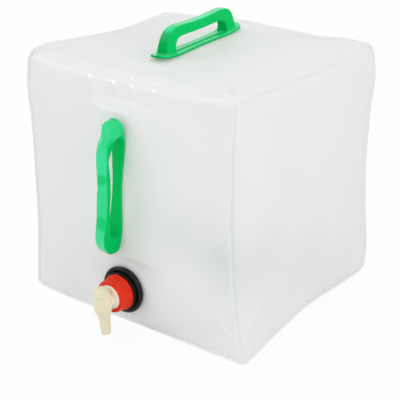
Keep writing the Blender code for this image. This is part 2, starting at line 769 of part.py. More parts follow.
def make_seal(levels, axis):
    """The flat rubber between the port disc and the spigot, with a port of its own."""
    rim = NECK_TUBE / 2 - SEAT_GAP
    start = levels["seal"]
    end = start + SEAL_THICKNESS
    profile = [(0, end), (rim, end), (rim, start), (0, start)]
    seal = turned("face_seal", profile, CARRIER, material("face_seal", RUBBER, 0.8), axis, closed=False)
    port = cylinder(
        "seal_port", PORT_DIAMETER / 2, start - CUT_OVERRUN, end + CUT_OVERRUN, CUTTERS, axis, PORT_STEPS
    )
    port.location.y = -PORT_OFFSET
    boolean(seal, port, "DIFFERENCE")
    return seal


def make_collar(levels, axis):
    """The red screw collar, with a hem at its back and a lip that holds the spigot's flange."""
    back, front = COLLAR_DIAMETER / 2, COLLAR_FRONT_DIAMETER / 2
    hem = levels["collar"] + COLLAR_HEM
    bore = NECK_TUBE / 2 + COLLAR_CLEARANCE
    opening = COLLAR_OPENING / 2
    waist = back - COLLAR_ROUND
    sides = [
        (waist - (waist - front) * share**COLLAR_CURVE_POWER,
         hem + (levels["front"] - COLLAR_ROUND - hem) * share)
        for share in COLLAR_LINE_SHARES
    ]
    profile = [
        (opening, levels["front"] - COLLAR_ROUND / 2),
        (opening + COLLAR_ROUND / 2, levels["front"]),
        (front - COLLAR_ROUND, levels["front"]),
        *sides,
        (back, hem),
        (back, levels["collar"]),
        (bore, levels["collar"]),
        (bore, levels["lip"]),
        (opening, levels["lip"]),
    ]
    return turned("screw_collar", profile, CARRIER, material("screw_collar", RED, 0.30), axis)


def make_spout(levels, spigot_axis):
    """The upright body of the spigot with its tapered spout, on its own axis."""
    body, waist, tip = (d / 2 for d in (SPOUT_BODY_DIAMETER, SPOUT_WAIST_DIAMETER, SPOUT_TIP_DIAMETER))
    profile = [
        (0, SPOUT_TOP),
        (body - CUT_OVERRUN / 2, SPOUT_TOP),
        (body, SPOUT_TOP - CUT_OVERRUN / 2),
        (body, -SPOUT_SHOULDER),
        (waist + (body - waist) * SPOUT_TAPER_SHARE, -(SPOUT_SHOULDER + SPOUT_WAIST) / 2),
        (waist, -SPOUT_WAIST),
        (tip, -SPOUT_LENGTH),
        (0, -SPOUT_LENGTH),
    ]
    spout = turned("spout_body", profile, CUTTERS, None, spigot_axis, SPOUT_STEPS, closed=False)
    start, end = -SPOUT_LENGTH - CUT_OVERRUN, SPOUT_TOP + CUT_OVERRUN
    bore = cylinder("spout_bore", SPOUT_BORE / 2, start, end, CUTTERS, spigot_axis, BORE_STEPS)
    for part in (spout, bore):
        part.matrix_local = Matrix.Translation((0, 0, levels["front"] + SPOUT_OUT)) @ Matrix.Rotation(
            -math.pi / 2, 4, "X"
        )
    return spout, bore


def make_spigot(levels, spigot_axis):
    """The cream elbow: a flange under the collar's lip, a boss, a short barrel and the spout."""
    flange = NECK_TUBE / 2 - SEAT_GAP
    boss = COLLAR_OPENING / 2 - SEAT_GAP
    flange_front = levels["spigot"] + SPIGOT_FLANGE_THICKNESS
    boss_front = levels["front"] + BOSS_PROUD
    barrel_end = levels["front"] + SPOUT_OUT
    profile = [
        (0, boss_front),
        (boss - BOSS_PROUD, boss_front),
        (boss, boss_front - BOSS_PROUD),
        (boss, flange_front),
        (flange, flange_front),
        (flange, levels["spigot"]),
        (0, levels["spigot"]),
    ]
    spigot = turned(
        "spigot", profile, CARRIER, material("spigot", CREAM, 0.35), spigot_axis, BOSS_STEPS, closed=False
    )
    barrel = cylinder(
        "spigot_barrel", BARREL_DIAMETER / 2, flange_front, barrel_end, CUTTERS, spigot_axis, BARREL_STEPS
    )
    barrel.location.y = -BARREL_DROP
    spout, bore = make_spout(levels, spigot_axis)
    boolean(spigot, barrel, "UNION")
    boolean(spigot, spout, "UNION")
    port = cylinder(
        "spigot_port", PORT_DIAMETER / 2, levels["spigot"] - CUT_OVERRUN, barrel_end, CUTTERS, spigot_axis,
        PORT_STEPS,
    )
    port.location.y = -PORT_OFFSET
    boolean(spigot, bore, "DIFFERENCE")
    boolean(spigot, port, "DIFFERENCE")
    return spigot


def make_cap(levels, spigot_axis):
    """The cap that closes the top of the spigot's upright bore."""
    head = CAP_DIAMETER / 2
    plug = SPOUT_BORE / 2 - SEAT_GAP
    seat = SPOUT_TOP + SEAT_GAP
    top = seat + CAP_HEIGHT
    profile = [
        (0, top),
        *arc((head - CAP_ROUND, top - CAP_ROUND), CAP_ROUND, 90, 0, 4),
        (head, seat),
        (plug, seat),
        (plug, SPOUT_TOP - CAP_PLUG_DEPTH),
        (0, SPOUT_TOP - CAP_PLUG_DEPTH),
    ]
    finish = material("spigot_cap", CREAM, 0.35)
    cap = turned("spigot_cap", profile, CARRIER, finish, spigot_axis, SPOUT_STEPS, closed=False)
    cap.matrix_local = Matrix.Translation((0, 0, levels["front"] + SPOUT_OUT)) @ Matrix.Rotation(
        -math.pi / 2, 4, "X"
    )
    return cap


def make_film():
    """The two half shells of film, wall by wall, and their welded margin."""
    walls = {}
    for face in ("front", "top", "right"):
        name = f"near_shell_{face}"
        walls[face] = make_wall(name, face, material(name, FILM_COLOUR, 0.35))
    for face in ("left", "back", "bottom"):
        name = f"far_shell_{face}"
        walls[face] = make_wall(name, face, material(name, FILM_COLOUR, 0.35))
    make_seam(material("seam_margin", FILM_COLOUR, 0.40))
    return walls


def make_tap(front_wall):
    """The tap on its axis, from the nut inside the film to the spigot's cap."""
    place = Matrix.Translation((0, -(HALF[1] + TAP_OUT), TAP_HEIGHT)) @ Matrix.Rotation(math.pi / 2, 4, "X")
    axis = add_empty("tap_axis", place)
    spigot_axis = add_empty("spigot_axis", place @ Matrix.Rotation(SPOUT_LEAN, 4, "Z"), axis)
    levels = tap_levels()
    hole = cylinder(
        "neck_hole", NECK_TUBE / 2 + NECK_HOLE_CLEARANCE, -NECK_TAIL, NECK_TAIL, CUTTERS, axis, TURN_STEPS
    )
    boolean(front_wall, hole, "DIFFERENCE")
    make_neck(levels, axis)
    make_gasket("outer_gasket", SEAT_GAP, axis)
    make_gasket("inner_gasket", levels["inner_gasket"], axis)
    make_nut(levels, axis)
    make_port_disc(levels, axis)
    make_o_ring(levels, axis)
    make_seal(levels, axis)
    make_collar(levels, axis)
    make_spigot(levels, spigot_axis)
    make_cap(levels, spigot_axis)


def make_grips():
    """The front grip stands upright over the tap, and the top grip runs from front to back."""
    out = front_seat(FRONT_GRIP_HEIGHT) + SEAT_GAP
    upright = Matrix(((0, -1, 0, 0), (0, 0, -1, 0), (1, 0, 0, 0), (0, 0, 0, 1)))
    front_place = (
        Matrix.Translation((FRONT_GRIP_SIDE, -out, FRONT_GRIP_HEIGHT))
        @ Matrix.Rotation(FRONT_GRIP_TILT, 4, "X")
        @ Matrix.Rotation(FRONT_GRIP_LEAN, 4, "Y")
        @ upright
    )
    level = top_seat(TOP_GRIP_PLACE) + SEAT_GAP
    top_place = (
        Matrix.Translation((0, TOP_GRIP_PLACE, level))
        @ Matrix.Rotation(TOP_GRIP_TILT, 4, "X")
        @ Matrix.Rotation(math.pi / 2 + TOP_GRIP_LEAN, 4, "Z")
    )
    front_grip = Grip(
        FRONT_GRIP_LENGTH, FRONT_FOOT_SHARE, FRONT_GRIP_RISE, FRONT_FOOT_WIDTH, FRONT_END_WIDTH,
        FRONT_WAIST_WIDTH, FRONT_END_LIFT, FRONT_GRIP_SLACK,
    )
    top_grip = Grip(
        TOP_GRIP_LENGTH, TOP_FOOT_SHARE, TOP_GRIP_RISE, TOP_FOOT_WIDTH, TOP_END_WIDTH,
        TOP_WAIST_WIDTH, TOP_END_LIFT, 0,
    )
    make_grip("front_grip", add_empty("front_grip_seat", front_place), front_grip)
    make_grip("top_grip", add_empty("top_grip_seat", top_place), top_grip)


clear_scene()
CARRIER = make_collection("water_carrier")
CUTTERS = make_collection("cutters")
film_walls = make_film()
make_tap(film_walls["front"])
make_grips()
bpy.context.view_layer.update()
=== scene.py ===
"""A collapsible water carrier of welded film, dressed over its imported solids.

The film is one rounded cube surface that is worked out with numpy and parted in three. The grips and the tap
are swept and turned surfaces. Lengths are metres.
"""
import math
from collections import namedtuple

import bpy
import numpy as np
from bpy.props import FloatProperty, FloatVectorProperty, PointerProperty
from mathutils import Matrix, Vector


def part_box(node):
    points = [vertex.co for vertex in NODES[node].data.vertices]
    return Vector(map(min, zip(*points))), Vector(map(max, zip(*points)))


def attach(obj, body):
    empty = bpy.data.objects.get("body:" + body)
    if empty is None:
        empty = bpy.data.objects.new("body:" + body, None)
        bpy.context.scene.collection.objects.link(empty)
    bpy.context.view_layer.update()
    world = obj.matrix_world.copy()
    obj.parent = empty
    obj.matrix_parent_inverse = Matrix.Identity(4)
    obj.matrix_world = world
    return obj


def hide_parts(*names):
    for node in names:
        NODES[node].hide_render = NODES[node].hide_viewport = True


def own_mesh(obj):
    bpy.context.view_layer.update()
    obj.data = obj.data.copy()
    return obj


bl_info = {
    "name": "Collapsible water carrier",
    "version": (1, 0, 0),
    "blender": (4, 5, 0),
    "location": "View3D > Sidebar > Carrier",
    "description": "Film, grips, tap and studio of a collapsible water carrier",
    "category": "Object",
}

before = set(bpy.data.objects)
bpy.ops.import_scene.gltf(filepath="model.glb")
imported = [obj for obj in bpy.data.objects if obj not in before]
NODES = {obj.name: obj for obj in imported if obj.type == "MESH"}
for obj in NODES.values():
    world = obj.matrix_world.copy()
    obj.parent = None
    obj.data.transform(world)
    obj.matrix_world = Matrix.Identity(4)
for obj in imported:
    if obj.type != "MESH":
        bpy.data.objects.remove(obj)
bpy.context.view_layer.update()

# Half sizes of the film's cube, its lift off the floor, and the flats under the grips, the tap and the base
FILM_HALF = np.array((0.1385, 0.1285, 0.1365))
RIM_LIFT = 0.002
MM = 0.001
SEAT_GAP = 0.0003
SEAT_MARGIN = 0.0015
SEAT_BLEND = (0.030, 0.012)
TAP_OUT = 0.006
BASE_HALF, BASE_BLEND = (0.085, 0.075), (0.035, 0.035)
# The film is parted this far to each side of its middle, and the squeeze travel of its sides is given but not
# used
SQUEEZE_START, SQUEEZE_TRAVEL = 0.030, 0.100
FILM_LINES = 122
NECK_HOLE_RADIUS = 0.0185

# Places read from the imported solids, and the collar's ends as distances from the film along the tap
NECK_LOW, NECK_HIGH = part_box("neck_fitting")
COLLAR_LOW, COLLAR_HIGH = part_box("screw_collar")
TAP_MIDDLE = (NECK_LOW + NECK_HIGH) / 2
TAP_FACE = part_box("outer_gasket")[1].y + SEAT_GAP
RING_RADIUS = (NECK_HIGH.x - NECK_LOW.x) / 2
COLLAR_RADIUS = (COLLAR_HIGH.x - COLLAR_LOW.x) / 2
COLLAR_BACK, COLLAR_FRONT = TAP_FACE - COLLAR_HIGH.y, TAP_FACE - COLLAR_LOW.y

FACES = {
    "right": (0, 1), "left": (0, -1), "back": (1, 1), "front": (1, -1), "top": (2, 1), "bottom": (2, -1),
}
# Two faces of each edge, how it is made, and how far its middle is drawn in from each face, in millimetres
EDGES = (
    ("front", "left", "weld", 0.0, 0.0),
    ("left", "top", "weld", 0.0, 0.0),
    ("top", "back", "weld", 0.0, 0.0),
    ("back", "right", "weld", 0.0, 0.0),
    ("right", "bottom", "weld", 0.0, 2.5),
    ("bottom", "front", "weld", 1.0, 0.0),
    ("front", "right", "crease", 1.5, 10.0),
    ("front", "top", "fold", 2.0, 2.5),
    ("top", "right", "fold", 2.5, 2.5),
    ("left", "back", "fold", 4.0, 4.0),
    ("left", "bottom", "fold", 4.0, 3.0),
    ("back", "bottom", "fold", 4.0, 3.0),
)
# How far each welded edge stands out at even steps along it, in millimetres. The bottom stays level.
WELD_LINES = {
    ("front", "left"): (0.9, -1.6, -3.3, -3.7, -3.7, -3.4, -2.4, 0.0, 0.1),
    ("left", "top"): (-0.9, 0.6, -1.2, -3.0, -4.3, -4.8, -3.7, -1.1, 3.1),
    ("top", "back"): (-2.0, -2.5, -0.8, 0.4, -0.8, -1.5, -2.3, 0.5, 0.7),
    ("back", "right"): (4.5, 2.8, -0.3, -1.8, -2.8, -2.3, -1.1, 1.6, 0.8),
    ("right", "bottom"): (2.1, 1.4, -0.7, -2.5, -4.5, -4.8, -3.8, -3.1, -3.3),
    ("bottom", "front"): (3.3, 1.5, 0.5, 0.6, 0.7, 0.4, 0.2, 0.4, 0.5),
}
# How far each corner is pulled along X, Y and Z, and the radius of the rounded ones, in millimetres
CORNERS = {
    (-1, -1, 1): (1.75, 2.1, 2.45),
    (-1, -1, -1): (-1.4, 3.5, 0.0),
    (1, -1, -1): (7.0, 1.05, 0.0),
    (1, 1, -1): (1.4, 0.0, 0.0),
    (1, 1, 1): (-2.8, -1.4, -0.7),
    (1, -1, 1): (-3.78, -3.5, 0.0),
    (-1, 1, 1): (-5.25, -4.2, -1.4),
}
CORNER_ROUNDS = {
    (-1, -1, -1): 13.0, (-1, -1, 1): 13.0, (-1, 1, 1): 16.0, (1, 1, 1): 13.0, (1, 1, -1): 13.0,
}
ROUND_WEIGHT, ROUND_POWER = 6, 12
SEAM_CORNERS = ((-1, -1, -1), (-1, -1, 1), (-1, 1, 1), (1, 1, 1), (1, 1, -1), (1, -1, -1))
# How strongly a painted shade line on the first face and a painted highlight line on the second mark an edge
PAINTED_EDGE_LINES = {("right", "front"): 0.9, ("top", "front"): 0.15, ("right", "top"): 0.35}

# Small creases of the film: two ends on its walls, and the height and half width of the ridge
CREASES = (
    ((-50, -132, 281), (-36, -139, 222), 1.0, 4.4),
    ((-20, -132, 279), (-3, -139, 236), 0.9, 3.8),
    ((6, -131, 275), (17, -139, 238), 0.8, 3.8),
    ((36, -130, 274), (41, -138, 246), 0.6, 3.6),
    ((132, -126, 272), (94, -132, 274), 1.0, 1.6),
    ((133, -122, 277), (139, -124, 252), 1.0, 1.3),
    ((134, -116, 274), (131, -40, 277), 1.0, 3.0),
    ((136, -112, 268), (141, -60, 240), 0.8, 4.0),
    ((120, -118, 277), (80, -70, 283), 0.9, 4.0),
    ((-128, -115, 272), (-95, -80, 281), 0.7, 4.0),
    ((-131, -132, 40), (-104, -138, 66), 0.7, 4.0),
    ((130, -135, 30), (104, -139, 62), 0.7, 4.0),
    ((139, -110, 32), (142, -70, 70), 0.7, 4.0),
    ((139, 112, 40), (143, 80, 66), 0.7, 4.0),
    ((136, 110, 246), (142, 74, 214), 0.7, 4.0),
)

# Painted shade spots of the film, where its dark inside would show through: middle, inner and outer radius in
# millimetres, and how strong each one is
PAINTED_SHADE_SPOTS = (
    ((118, -137, 98), 6, 44, 0.65),
    ((120, -137, 114), 2, 18, 0.45),
    ((96, -137, 128), 10, 52, 0.45),
    ((50, -139, 122), 10, 55, 0.35),
    ((0, -139, 60), 22, 60, 0.40),
    ((-88, -138, 18), 6, 34, 0.35),
    ((141, -95, 100), 10, 60, 0.40),
    ((141, -20, 70), 10, 70, 0.35),
    ((141, 60, 34), 10, 70, 0.30),
    ((60, -50, 278), 8, 50, 0.15),
    ((62, -70, 281), 3, 16, 0.30),
)

# Painted darker reflections on the front grip's bar, also less glossy there: middle, inner and outer radius
# in millimetres
PAINTED_DARK_REFLECTIONS = (((-1, -166, 176), 3, 9), ((-3, -166, 128), 4, 11))

# A grip's plate length, the reach of its legs in shares of it, the bar's rise and width, the legs' width and
# rounding at the plate and how late they widen, the plate's widths and lift, the bar's twist and its sway
Grip = namedtuple(
    "Grip",
    "length foot_share rise bar_width foot_width foot_round spread end_width waist_width end_lift twist sway",
)
FRONT_GRIP = Grip(
    0.149, 0.985, 0.0280, 0.0120, 0.0172, 0.0082, 1.0, 0.0184, 0.0112, 0.0075, math.radians(26), 0.0038
)
TOP_GRIP = Grip(0.156, 0.853, 0.0296, 0.0100, 0.0150, 0.0016, 1.5, 0.0204, 0.0152, 0.0040, 0.0, 0.0)
FRONT_GRIP_SPOT = np.array((-0.0024, 0.1393, 0.161692))
FRONT_GRIP_LEAN, FRONT_GRIP_TILT = math.radians(4.4), math.radians(0.4)
TOP_GRIP_SPOT = np.array((0.0, -0.0100, 0.2808))
TOP_GRIP_LEAN, TOP_GRIP_TILT = math.radians(4.0), math.radians(1.1)
PLATE_THICKNESS = 0.0024
LIFT_START = 0.43


def length_property(name, description, default):
    """A length in metres."""
    return FloatProperty(name=name, description=description, default=default, unit="LENGTH")


def colour_property(name, description, default):
    """A colour."""
    return FloatVectorProperty(
        name=name, description=description, default=default, subtype="COLOR", size=3, min=0, max=1
    )


class FilmSettings(bpy.types.PropertyGroup):
    """Sizes and colours of the film."""

    wall: length_property("Wall", "Thickness of the film", 0.0008)
    side_bulge: length_property("Side bulge", "How far each side wall stands out", 0.009)
    front_bulge: length_property("Front bulge", "How far the front wall stands out", 0.010)
    top_bulge: length_property("Top bulge", "How far the top wall stands up", 0.006)
    seam_width: length_property("Seam width", "How far the fused margin stands out", 0.0028)
    colour: colour_property("Film colour", "Colour of the film", (0.965, 0.972, 0.968))
    warm_colour: colour_property("Warmer colour", "Colour of the film at its left", (0.970, 0.962, 0.966))
    # The shaded colour is painted shade: the film is darkened toward it in its shade spots and along its
    # crease lines
    shade_colour: colour_property("Shaded colour", "Colour of the film's cloudy places", (0.80, 0.825, 0.82))


class GripSettings(bpy.types.PropertyGroup):
    """Sizes and colours of the grips."""

    corner_radius: length_property("Corner radius", "Rounding of the bar's edges", 0.0018)
    fillet: length_property("Fillet", "Rounding where the legs meet the plate", 0.0018)
    flute_depth: length_property("Flute depth", "Depth of the flutes along the bar", 0.00014)
    rib_height: length_property("Rib height", "How far the plate's rib stands up", 0.0012)
    rim_height: length_property("Rim height", "How far the plate's rim stands up", 0.0003)
    # The face colour is the grips' lit colour and the side colour their shaded one: painted light and shade
    # of one green plastic
    colour: colour_property("Face colour", "Colour of the grips' faces", (0.010, 0.72, 0.29))
    shaded_side_colour: colour_property("Side colour", "Colour of the grips' sides", (0.0, 0.57, 0.130))


class TapSettings(bpy.types.PropertyGroup):
    """Colours of the tap."""

    ring_colour: colour_property("Ring colour", "Colour of the neck fitting", (0.006, 0.0065, 0.007))
    collar_colour: colour_property("Collar colour", "Colour of the screw collar", (0.78, 0.032, 0.010))
    spigot_colour: colour_property("Spigot colour", "Colour of the spigot", (0.77, 0.715, 0.525))
    # The boss colour is painted light: the boss inside the collar is painted lighter where light falls on it
    lit_boss_colour: colour_property("Boss colour", "Colour of the spigot inside the collar", (0.92, 0.82, 0.67))


class Value:
    """A socket of a shader tree. Arithmetic on it adds Math nodes."""

    def __init__(self, tree, socket):
        self.tree = tree
        self.socket = socket

    def math(self, operation, *values, clamp=False):
        """A Math node on the given values."""
        settings = {"operation": operation, "use_clamp": clamp}
        return self.tree.node("ShaderNodeMath", settings, dict(enumerate(values)))

    def __add__(self, other):
        return self.math("ADD", self, other)

    def __radd__(self, other):
        return self.math("ADD", other, self)

    def __sub__(self, other):
        return self.math("SUBTRACT", self, other)

    def __rsub__(self, other):
        return self.math("SUBTRACT", other, self)

    def __mul__(self, other):
        return self.math("MULTIPLY", self, other)

    def __rmul__(self, other):
        return self.math("MULTIPLY", other, self)

    def clamped(self):
        """This value held between 0 and 1."""
        return self.math("ADD", self, 0.0, clamp=True)

    def band(self, low, high):
        """0 below low, 1 above high and a smooth step between them."""
        sockets = {"Value": self, "From Min": low, "From Max": high}
        return self.tree.node("ShaderNodeMapRange", {"interpolation_type": "SMOOTHSTEP"}, sockets)


class Tree:
    """The nodes of one material or world."""

    def __init__(self, name, kind="materials"):
        self.owner = getattr(bpy.data, kind).new(name)
        self.owner.use_nodes = True
        self.tree = self.owner.node_tree
        self.tree.nodes.clear()
        if kind == "materials":
            self.place = self.node("ShaderNodeTexCoord", {}, {}, "Object")

    def node(self, kind, settings, sockets, output=0):
        """Adds a node: its settings first, then the values or links of its sockets."""
        node = self.tree.nodes.new(kind)
        for name, value in settings.items():
            setattr(node, name, value)
        for key, value in sockets.items():
            socket = node.inputs[key]
            if isinstance(value, Value):
                self.tree.links.new(value.socket, socket)
            elif isinstance(value, tuple) and len(value) == 3 and socket.type == "RGBA":
                socket.default_value = (*value, 1.0)
            else:
                socket.default_value = value
        return Value(self, node.outputs[output])

    def noise(self, scale, detail=2.0, vector=None, roughness=0.5, distortion=0.0):
        """Noise from 0 to 1 on object coordinates."""
        sockets = {
            "Vector": vector or self.place, "Scale": scale, "Detail": detail, "Roughness": roughness,
            "Distortion": distortion,
        }
        return self.node("ShaderNodeTexNoise", {}, sockets)

    def stretched(self, scale):
        """Object coordinates scaled along each axis."""
        return self.node("ShaderNodeMapping", {}, {"Vector": self.place, "Scale": scale})

    def mark(self, channel):
        """One of the piece's shares of painted light and shade, Red or Green of its attribute."""
        colour = self.node("ShaderNodeAttribute", {"attribute_name": "painted_light"}, {}, "Color")
        return self.node("ShaderNodeSeparateColor", {}, {"Color": colour}, channel)

    def near(self, point, inner, outer):
        """1 within the inner radius of a point, 0 beyond the outer one."""
        sockets = {0: self.place, 1: tuple(point)}
        off = self.node("ShaderNodeVectorMath", {"operation": "DISTANCE"}, sockets, "Value")
        return 1 - off.band(inner, outer)

    def mix(self, share, first, second):
        """A colour between two colours."""
        return self.node("ShaderNodeMix", {"data_type": "RGBA"}, {"Factor": share, 6: first, 7: second}, 2)

    def bump(self, height, distance):
        """Small relief for the Normal socket."""
        return self.node("ShaderNodeBump", {}, {"Height": height, "Distance": distance, "Strength": 1.0})

    def light_ray(self, kind):
        """1 for one kind of light ray, such as Camera."""
        return self.node("ShaderNodeLightPath", {}, {}, f"Is {kind} Ray")

    def principled(self, sockets):
        """A Principled shader."""
        return self.node("ShaderNodeBsdfPrincipled", {}, sockets)

    def finish(self, shader, kind="Material"):
        """Sends the shader to the output and hands back the material or world."""
        output = self.tree.nodes.new(f"ShaderNodeOutput{kind}")
        self.tree.links.new(shader.socket, output.inputs["Surface"])
        return self.owner


def colour_of(value, share=1.0):
    """A colour property as a plain tuple, made lighter or darker by a share."""
    return tuple(min(1.0, channel * share) for channel in value)


def plastic_material(name, colour, roughness, subsurface=0.0, index=1.45, lit_place=None):
    """Smooth moulded plastic: the colour drifts a little, the gloss is uneven, and handling has dulled it.

    A lit place is painted light: a lighter, warmer place where light falls, given by its point, its inner and
    outer radius, and its colour.
    """
    tree = Tree(name)
    drift = tree.noise(35, 3)
    grain = tree.noise(900, 2)
    flow = tree.noise(60, 2, tree.stretched((1.0, 1.0, 0.25)))
    dulled = tree.noise(160, 4, roughness=0.7).band(0.60, 0.85)
    base = tree.mix((drift * 0.7 + flow * 0.3).clamped(), colour_of(colour, 0.90), colour_of(colour, 1.10))
    base = tree.mix(dulled * 0.4, base, colour_of(colour, 0.85))
    if lit_place:
        *reach, tint = lit_place
        base = tree.mix(tree.near(*reach), base, colour_of(tint))
    return tree.finish(tree.principled({
        "Base Color": base,
        "Roughness": (roughness + drift * 0.08 + dulled * 0.12).clamped(),
        "Normal": tree.bump(grain * 0.6 + flow * 0.4, 0.00003),
        "Subsurface Weight": subsurface,
        "Subsurface Scale": 0.002,
        "IOR": index,
    }))


def green_material(settings):
    """Soft glossy plastic with flow lines and worn dull spots; faces are painted in a lit bluer colour and
    sides in a shaded one, with painted darker reflections and painted shade on the ends, and the faces are
    glossier.
    """
    tree = Tree("green_plastic")
    side = settings.shaded_side_colour
    drift = tree.noise(24, 3)
    grain = tree.noise(700, 2)
    flow = tree.noise(90, 3, tree.stretched((1.0, 0.5, 0.5)))
    worn = tree.noise(150, 4, roughness=0.7).band(0.58, 0.85)
    # Painted darker reflections on the front bar: the colour is darkened and the coat gloss is lowered there
    dark_reflection = 0.0
    for middle, inner, outer in PAINTED_DARK_REFLECTIONS:
        dark_reflection = dark_reflection + tree.near(np.array(middle) * MM, inner * MM, outer * MM)
    # Painted light and shade: faces get the lit face colour, sides the shaded side colour, and the painted
    # darker reflections pull faces toward it
    face = (tree.mark("Red") * (1 - 0.75 * dark_reflection)).clamped()
    base = tree.mix(face, colour_of(side), colour_of(settings.colour))
    base = tree.mix(drift.band(0.35, 0.75) * 0.5, base, colour_of(side))
    base = tree.mix(flow.band(0.45, 0.75) * 0.25, base, colour_of(side, 0.86))
    # Painted shade on the grips' ends
    base = tree.mix(tree.mark("Green") * 0.8, base, colour_of(side, 0.62))
    return tree.finish(tree.principled({
        "Base Color": base,
        "Roughness": (0.26 + drift * 0.08 + worn * 0.12).clamped(),
        "Normal": tree.bump(grain * 0.3 + flow * 0.7, 0.00005),
        "IOR": 1.08,
        "Coat Weight": face * 0.92 + 0.03,
        "Coat Roughness": 0.12,
        "Coat IOR": 1.5,
    }))


def rubber_material(name):
    """Matt black rubber with a fine bloom."""
    tree = Tree(name)
    bloom = tree.noise(220, 4)
    shader = tree.principled({
        "Base Color": tree.mix(bloom.band(0.45, 0.8), (0.020, 0.020, 0.021), (0.055, 0.055, 0.057)),
        "Roughness": bloom * 0.25 + 0.55,
        "Normal": tree.bump(tree.noise(1400, 2), 0.00004),
    })
    return tree.finish(shader)


def film_material(name, settings, density):
    """Frosted film: light comes through it, painted shade spots and random clouds darken it, painted shade
    and highlight lines mark its creases, and faint draw lines run up its sides.
    """
    tree = Tree(name)
    cloud = tree.noise(6, 3, distortion=0.6)
    fine = tree.noise(48, 4)
    lines = tree.noise(70, 2, tree.stretched((1.0, 1.0, 0.12)))
    shade = cloud.band(0.42, 0.80) * 0.30
    # Painted shade spots: the colour is darkened where the film's inside would show through
    for middle, inner, outer, strength in PAINTED_SHADE_SPOTS:
        near = tree.near(np.array(middle) * MM, inner * MM, outer * MM)
        shade = shade + near * (strength * (0.6 + 0.4 * cloud))
    # Painted shade along the creases and the sharp edge; the glint is a painted highlight along them, which
    # also gives coat gloss
    shade = shade + tree.mark("Red") * 0.9
    glint = tree.mark("Green").clamped()
    warm = tree.near((-0.14, -0.10, 0.18), 0.05, 0.22)
    plain = colour_of(settings.colour, density)
    colour = tree.mix(warm * 0.7, plain, colour_of(settings.warm_colour, density))
    colour = tree.mix(shade.clamped(), colour, colour_of(settings.shade_colour, density))
    skin = tree.principled({
        # The glint whitens the colour as a painted highlight
        "Base Color": tree.mix(glint, colour, (1.0, 1.0, 1.0)),
        "Roughness": (0.24 + fine * 0.16 + cloud * 0.06 - glint * 0.18).clamped(),
        "Coat Weight": glint,
        "Coat Roughness": 0.30,
        "Coat IOR": 2.4,
        "Normal": tree.bump(cloud * 0.5 + fine * 0.3 + lines * 0.2, 0.0012),
        "IOR": 1.40,
        "Alpha": 0.94,
    })
    glow = tree.node("ShaderNodeBsdfTranslucent", {}, {"Color": plain})
    return tree.finish(tree.node("ShaderNodeMixShader", {}, {0: 0.48, 1: skin, 2: glow}))


def add_object(name, data):
    """A new object in the scene."""
    item = bpy.data.objects.new(name, data)
    bpy.context.scene.collection.objects.link(item)
    return item


def give_mesh(name, points, quads, finish, smooth=True):
    """A mesh object at the origin from an array of points and a list of faces."""
    mesh = bpy.data.meshes.new(name)
    mesh.from_pydata(np.asarray(points, dtype=float).tolist(), [], [list(face) for face in quads])
    mesh.validate()
    if smooth:
        mesh.shade_smooth()
    mesh.materials.append(finish)
    return add_object(name, mesh)


def set_painted_light(piece, painted_light):
    """Gives a piece's first points their shares of painted light and shade for the material: two numbers
    each, as a colour attribute.
    """
    colours = np.zeros((len(piece.data.vertices), 4), dtype=np.float32)
    colours[: len(painted_light), :2] = painted_light
    attribute = piece.data.attributes.new("painted_light", "FLOAT_COLOR", "POINT")
    attribute.data.foreach_set("color", colours.ravel())


def facing(piece, way):
    """How far each point of a piece looks a given way: 0 below 0.35 of the full turn, 1 above 0.85."""
    normals = np.zeros(len(piece.data.vertices) * 3)
    piece.data.vertex_normals.foreach_get("vector", normals)
    return smooth_step((normals.reshape(-1, 3) @ np.array(way) - 0.35) / 0.5)


def set_normals(piece, normals):
    """Gives a piece's first points their own outward directions, so that a cut through it doesn't show."""
    mesh = piece.data
    own = np.zeros(len(mesh.vertices) * 3)
    mesh.vertex_normals.foreach_get("vector", own)
    own = own.reshape(-1, 3)
    own[: len(normals)] = normals
    mesh.normals_split_custom_set_from_vertices(own.tolist())


def seat_piece(piece, body, *nodes):
    """Rides a piece on its body and stands it in for its nodes."""
    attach(piece, body)
    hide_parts(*nodes)


def smooth_step(t):
    """3t^2 - 2t^3 between 0 and 1."""
    t = np.clip(t, 0.0, 1.0)
    return t * t * (3 - 2 * t)


def unit(vectors):
    """Vectors made one long."""
    return vectors / np.linalg.norm(vectors, axis=1, keepdims=True)


def grid_faces(rows, columns, wrap_rows=False, wrap_columns=False, start=0):
    """The four-sided faces of a grid of points that is stored row by row."""
    row = np.arange(rows if wrap_rows else rows - 1)
    column = np.arange(columns if wrap_columns else columns - 1)
    row, column = (a.ravel() for a in np.meshgrid(row, column, indexing="ij"))
    next_row, next_column = (row + 1) % rows, (column + 1) % columns
    return start + np.stack(
        [row * columns + column, next_row * columns + column, next_row * columns + next_column,
         row * columns + next_column], axis=1,
    )


def tube(rings):
    """A closed surface through rings of points, the first and last ring shut by a fan to their middle.

    Its faces look outward: they are turned over where the volume they shut in comes out below zero.
    """
    count, around, _ = rings.shape
    faces = grid_faces(count, around, wrap_columns=True)
    ends = np.stack([rings[0].mean(axis=0), rings[-1].mean(axis=0)])
    points = np.concatenate([rings.reshape(-1, 3), ends])
    step = np.arange(around)
    after = (step + 1) % around
    last = (count - 1) * around
    first_cap = np.stack([np.full(around, count * around), step, after], axis=1)
    last_cap = np.stack([np.full(around, count * around + 1), last + after, last + step], axis=1)
    caps = np.concatenate([first_cap, last_cap])
    corners = points[np.concatenate([faces[:, :3], faces[:, [0, 2, 3]], caps])]
    if (corners[:, 0] * np.cross(corners[:, 1], corners[:, 2])).sum() < 0:
        faces, caps = faces[:, ::-1], caps[:, ::-1]
    return points, faces, caps


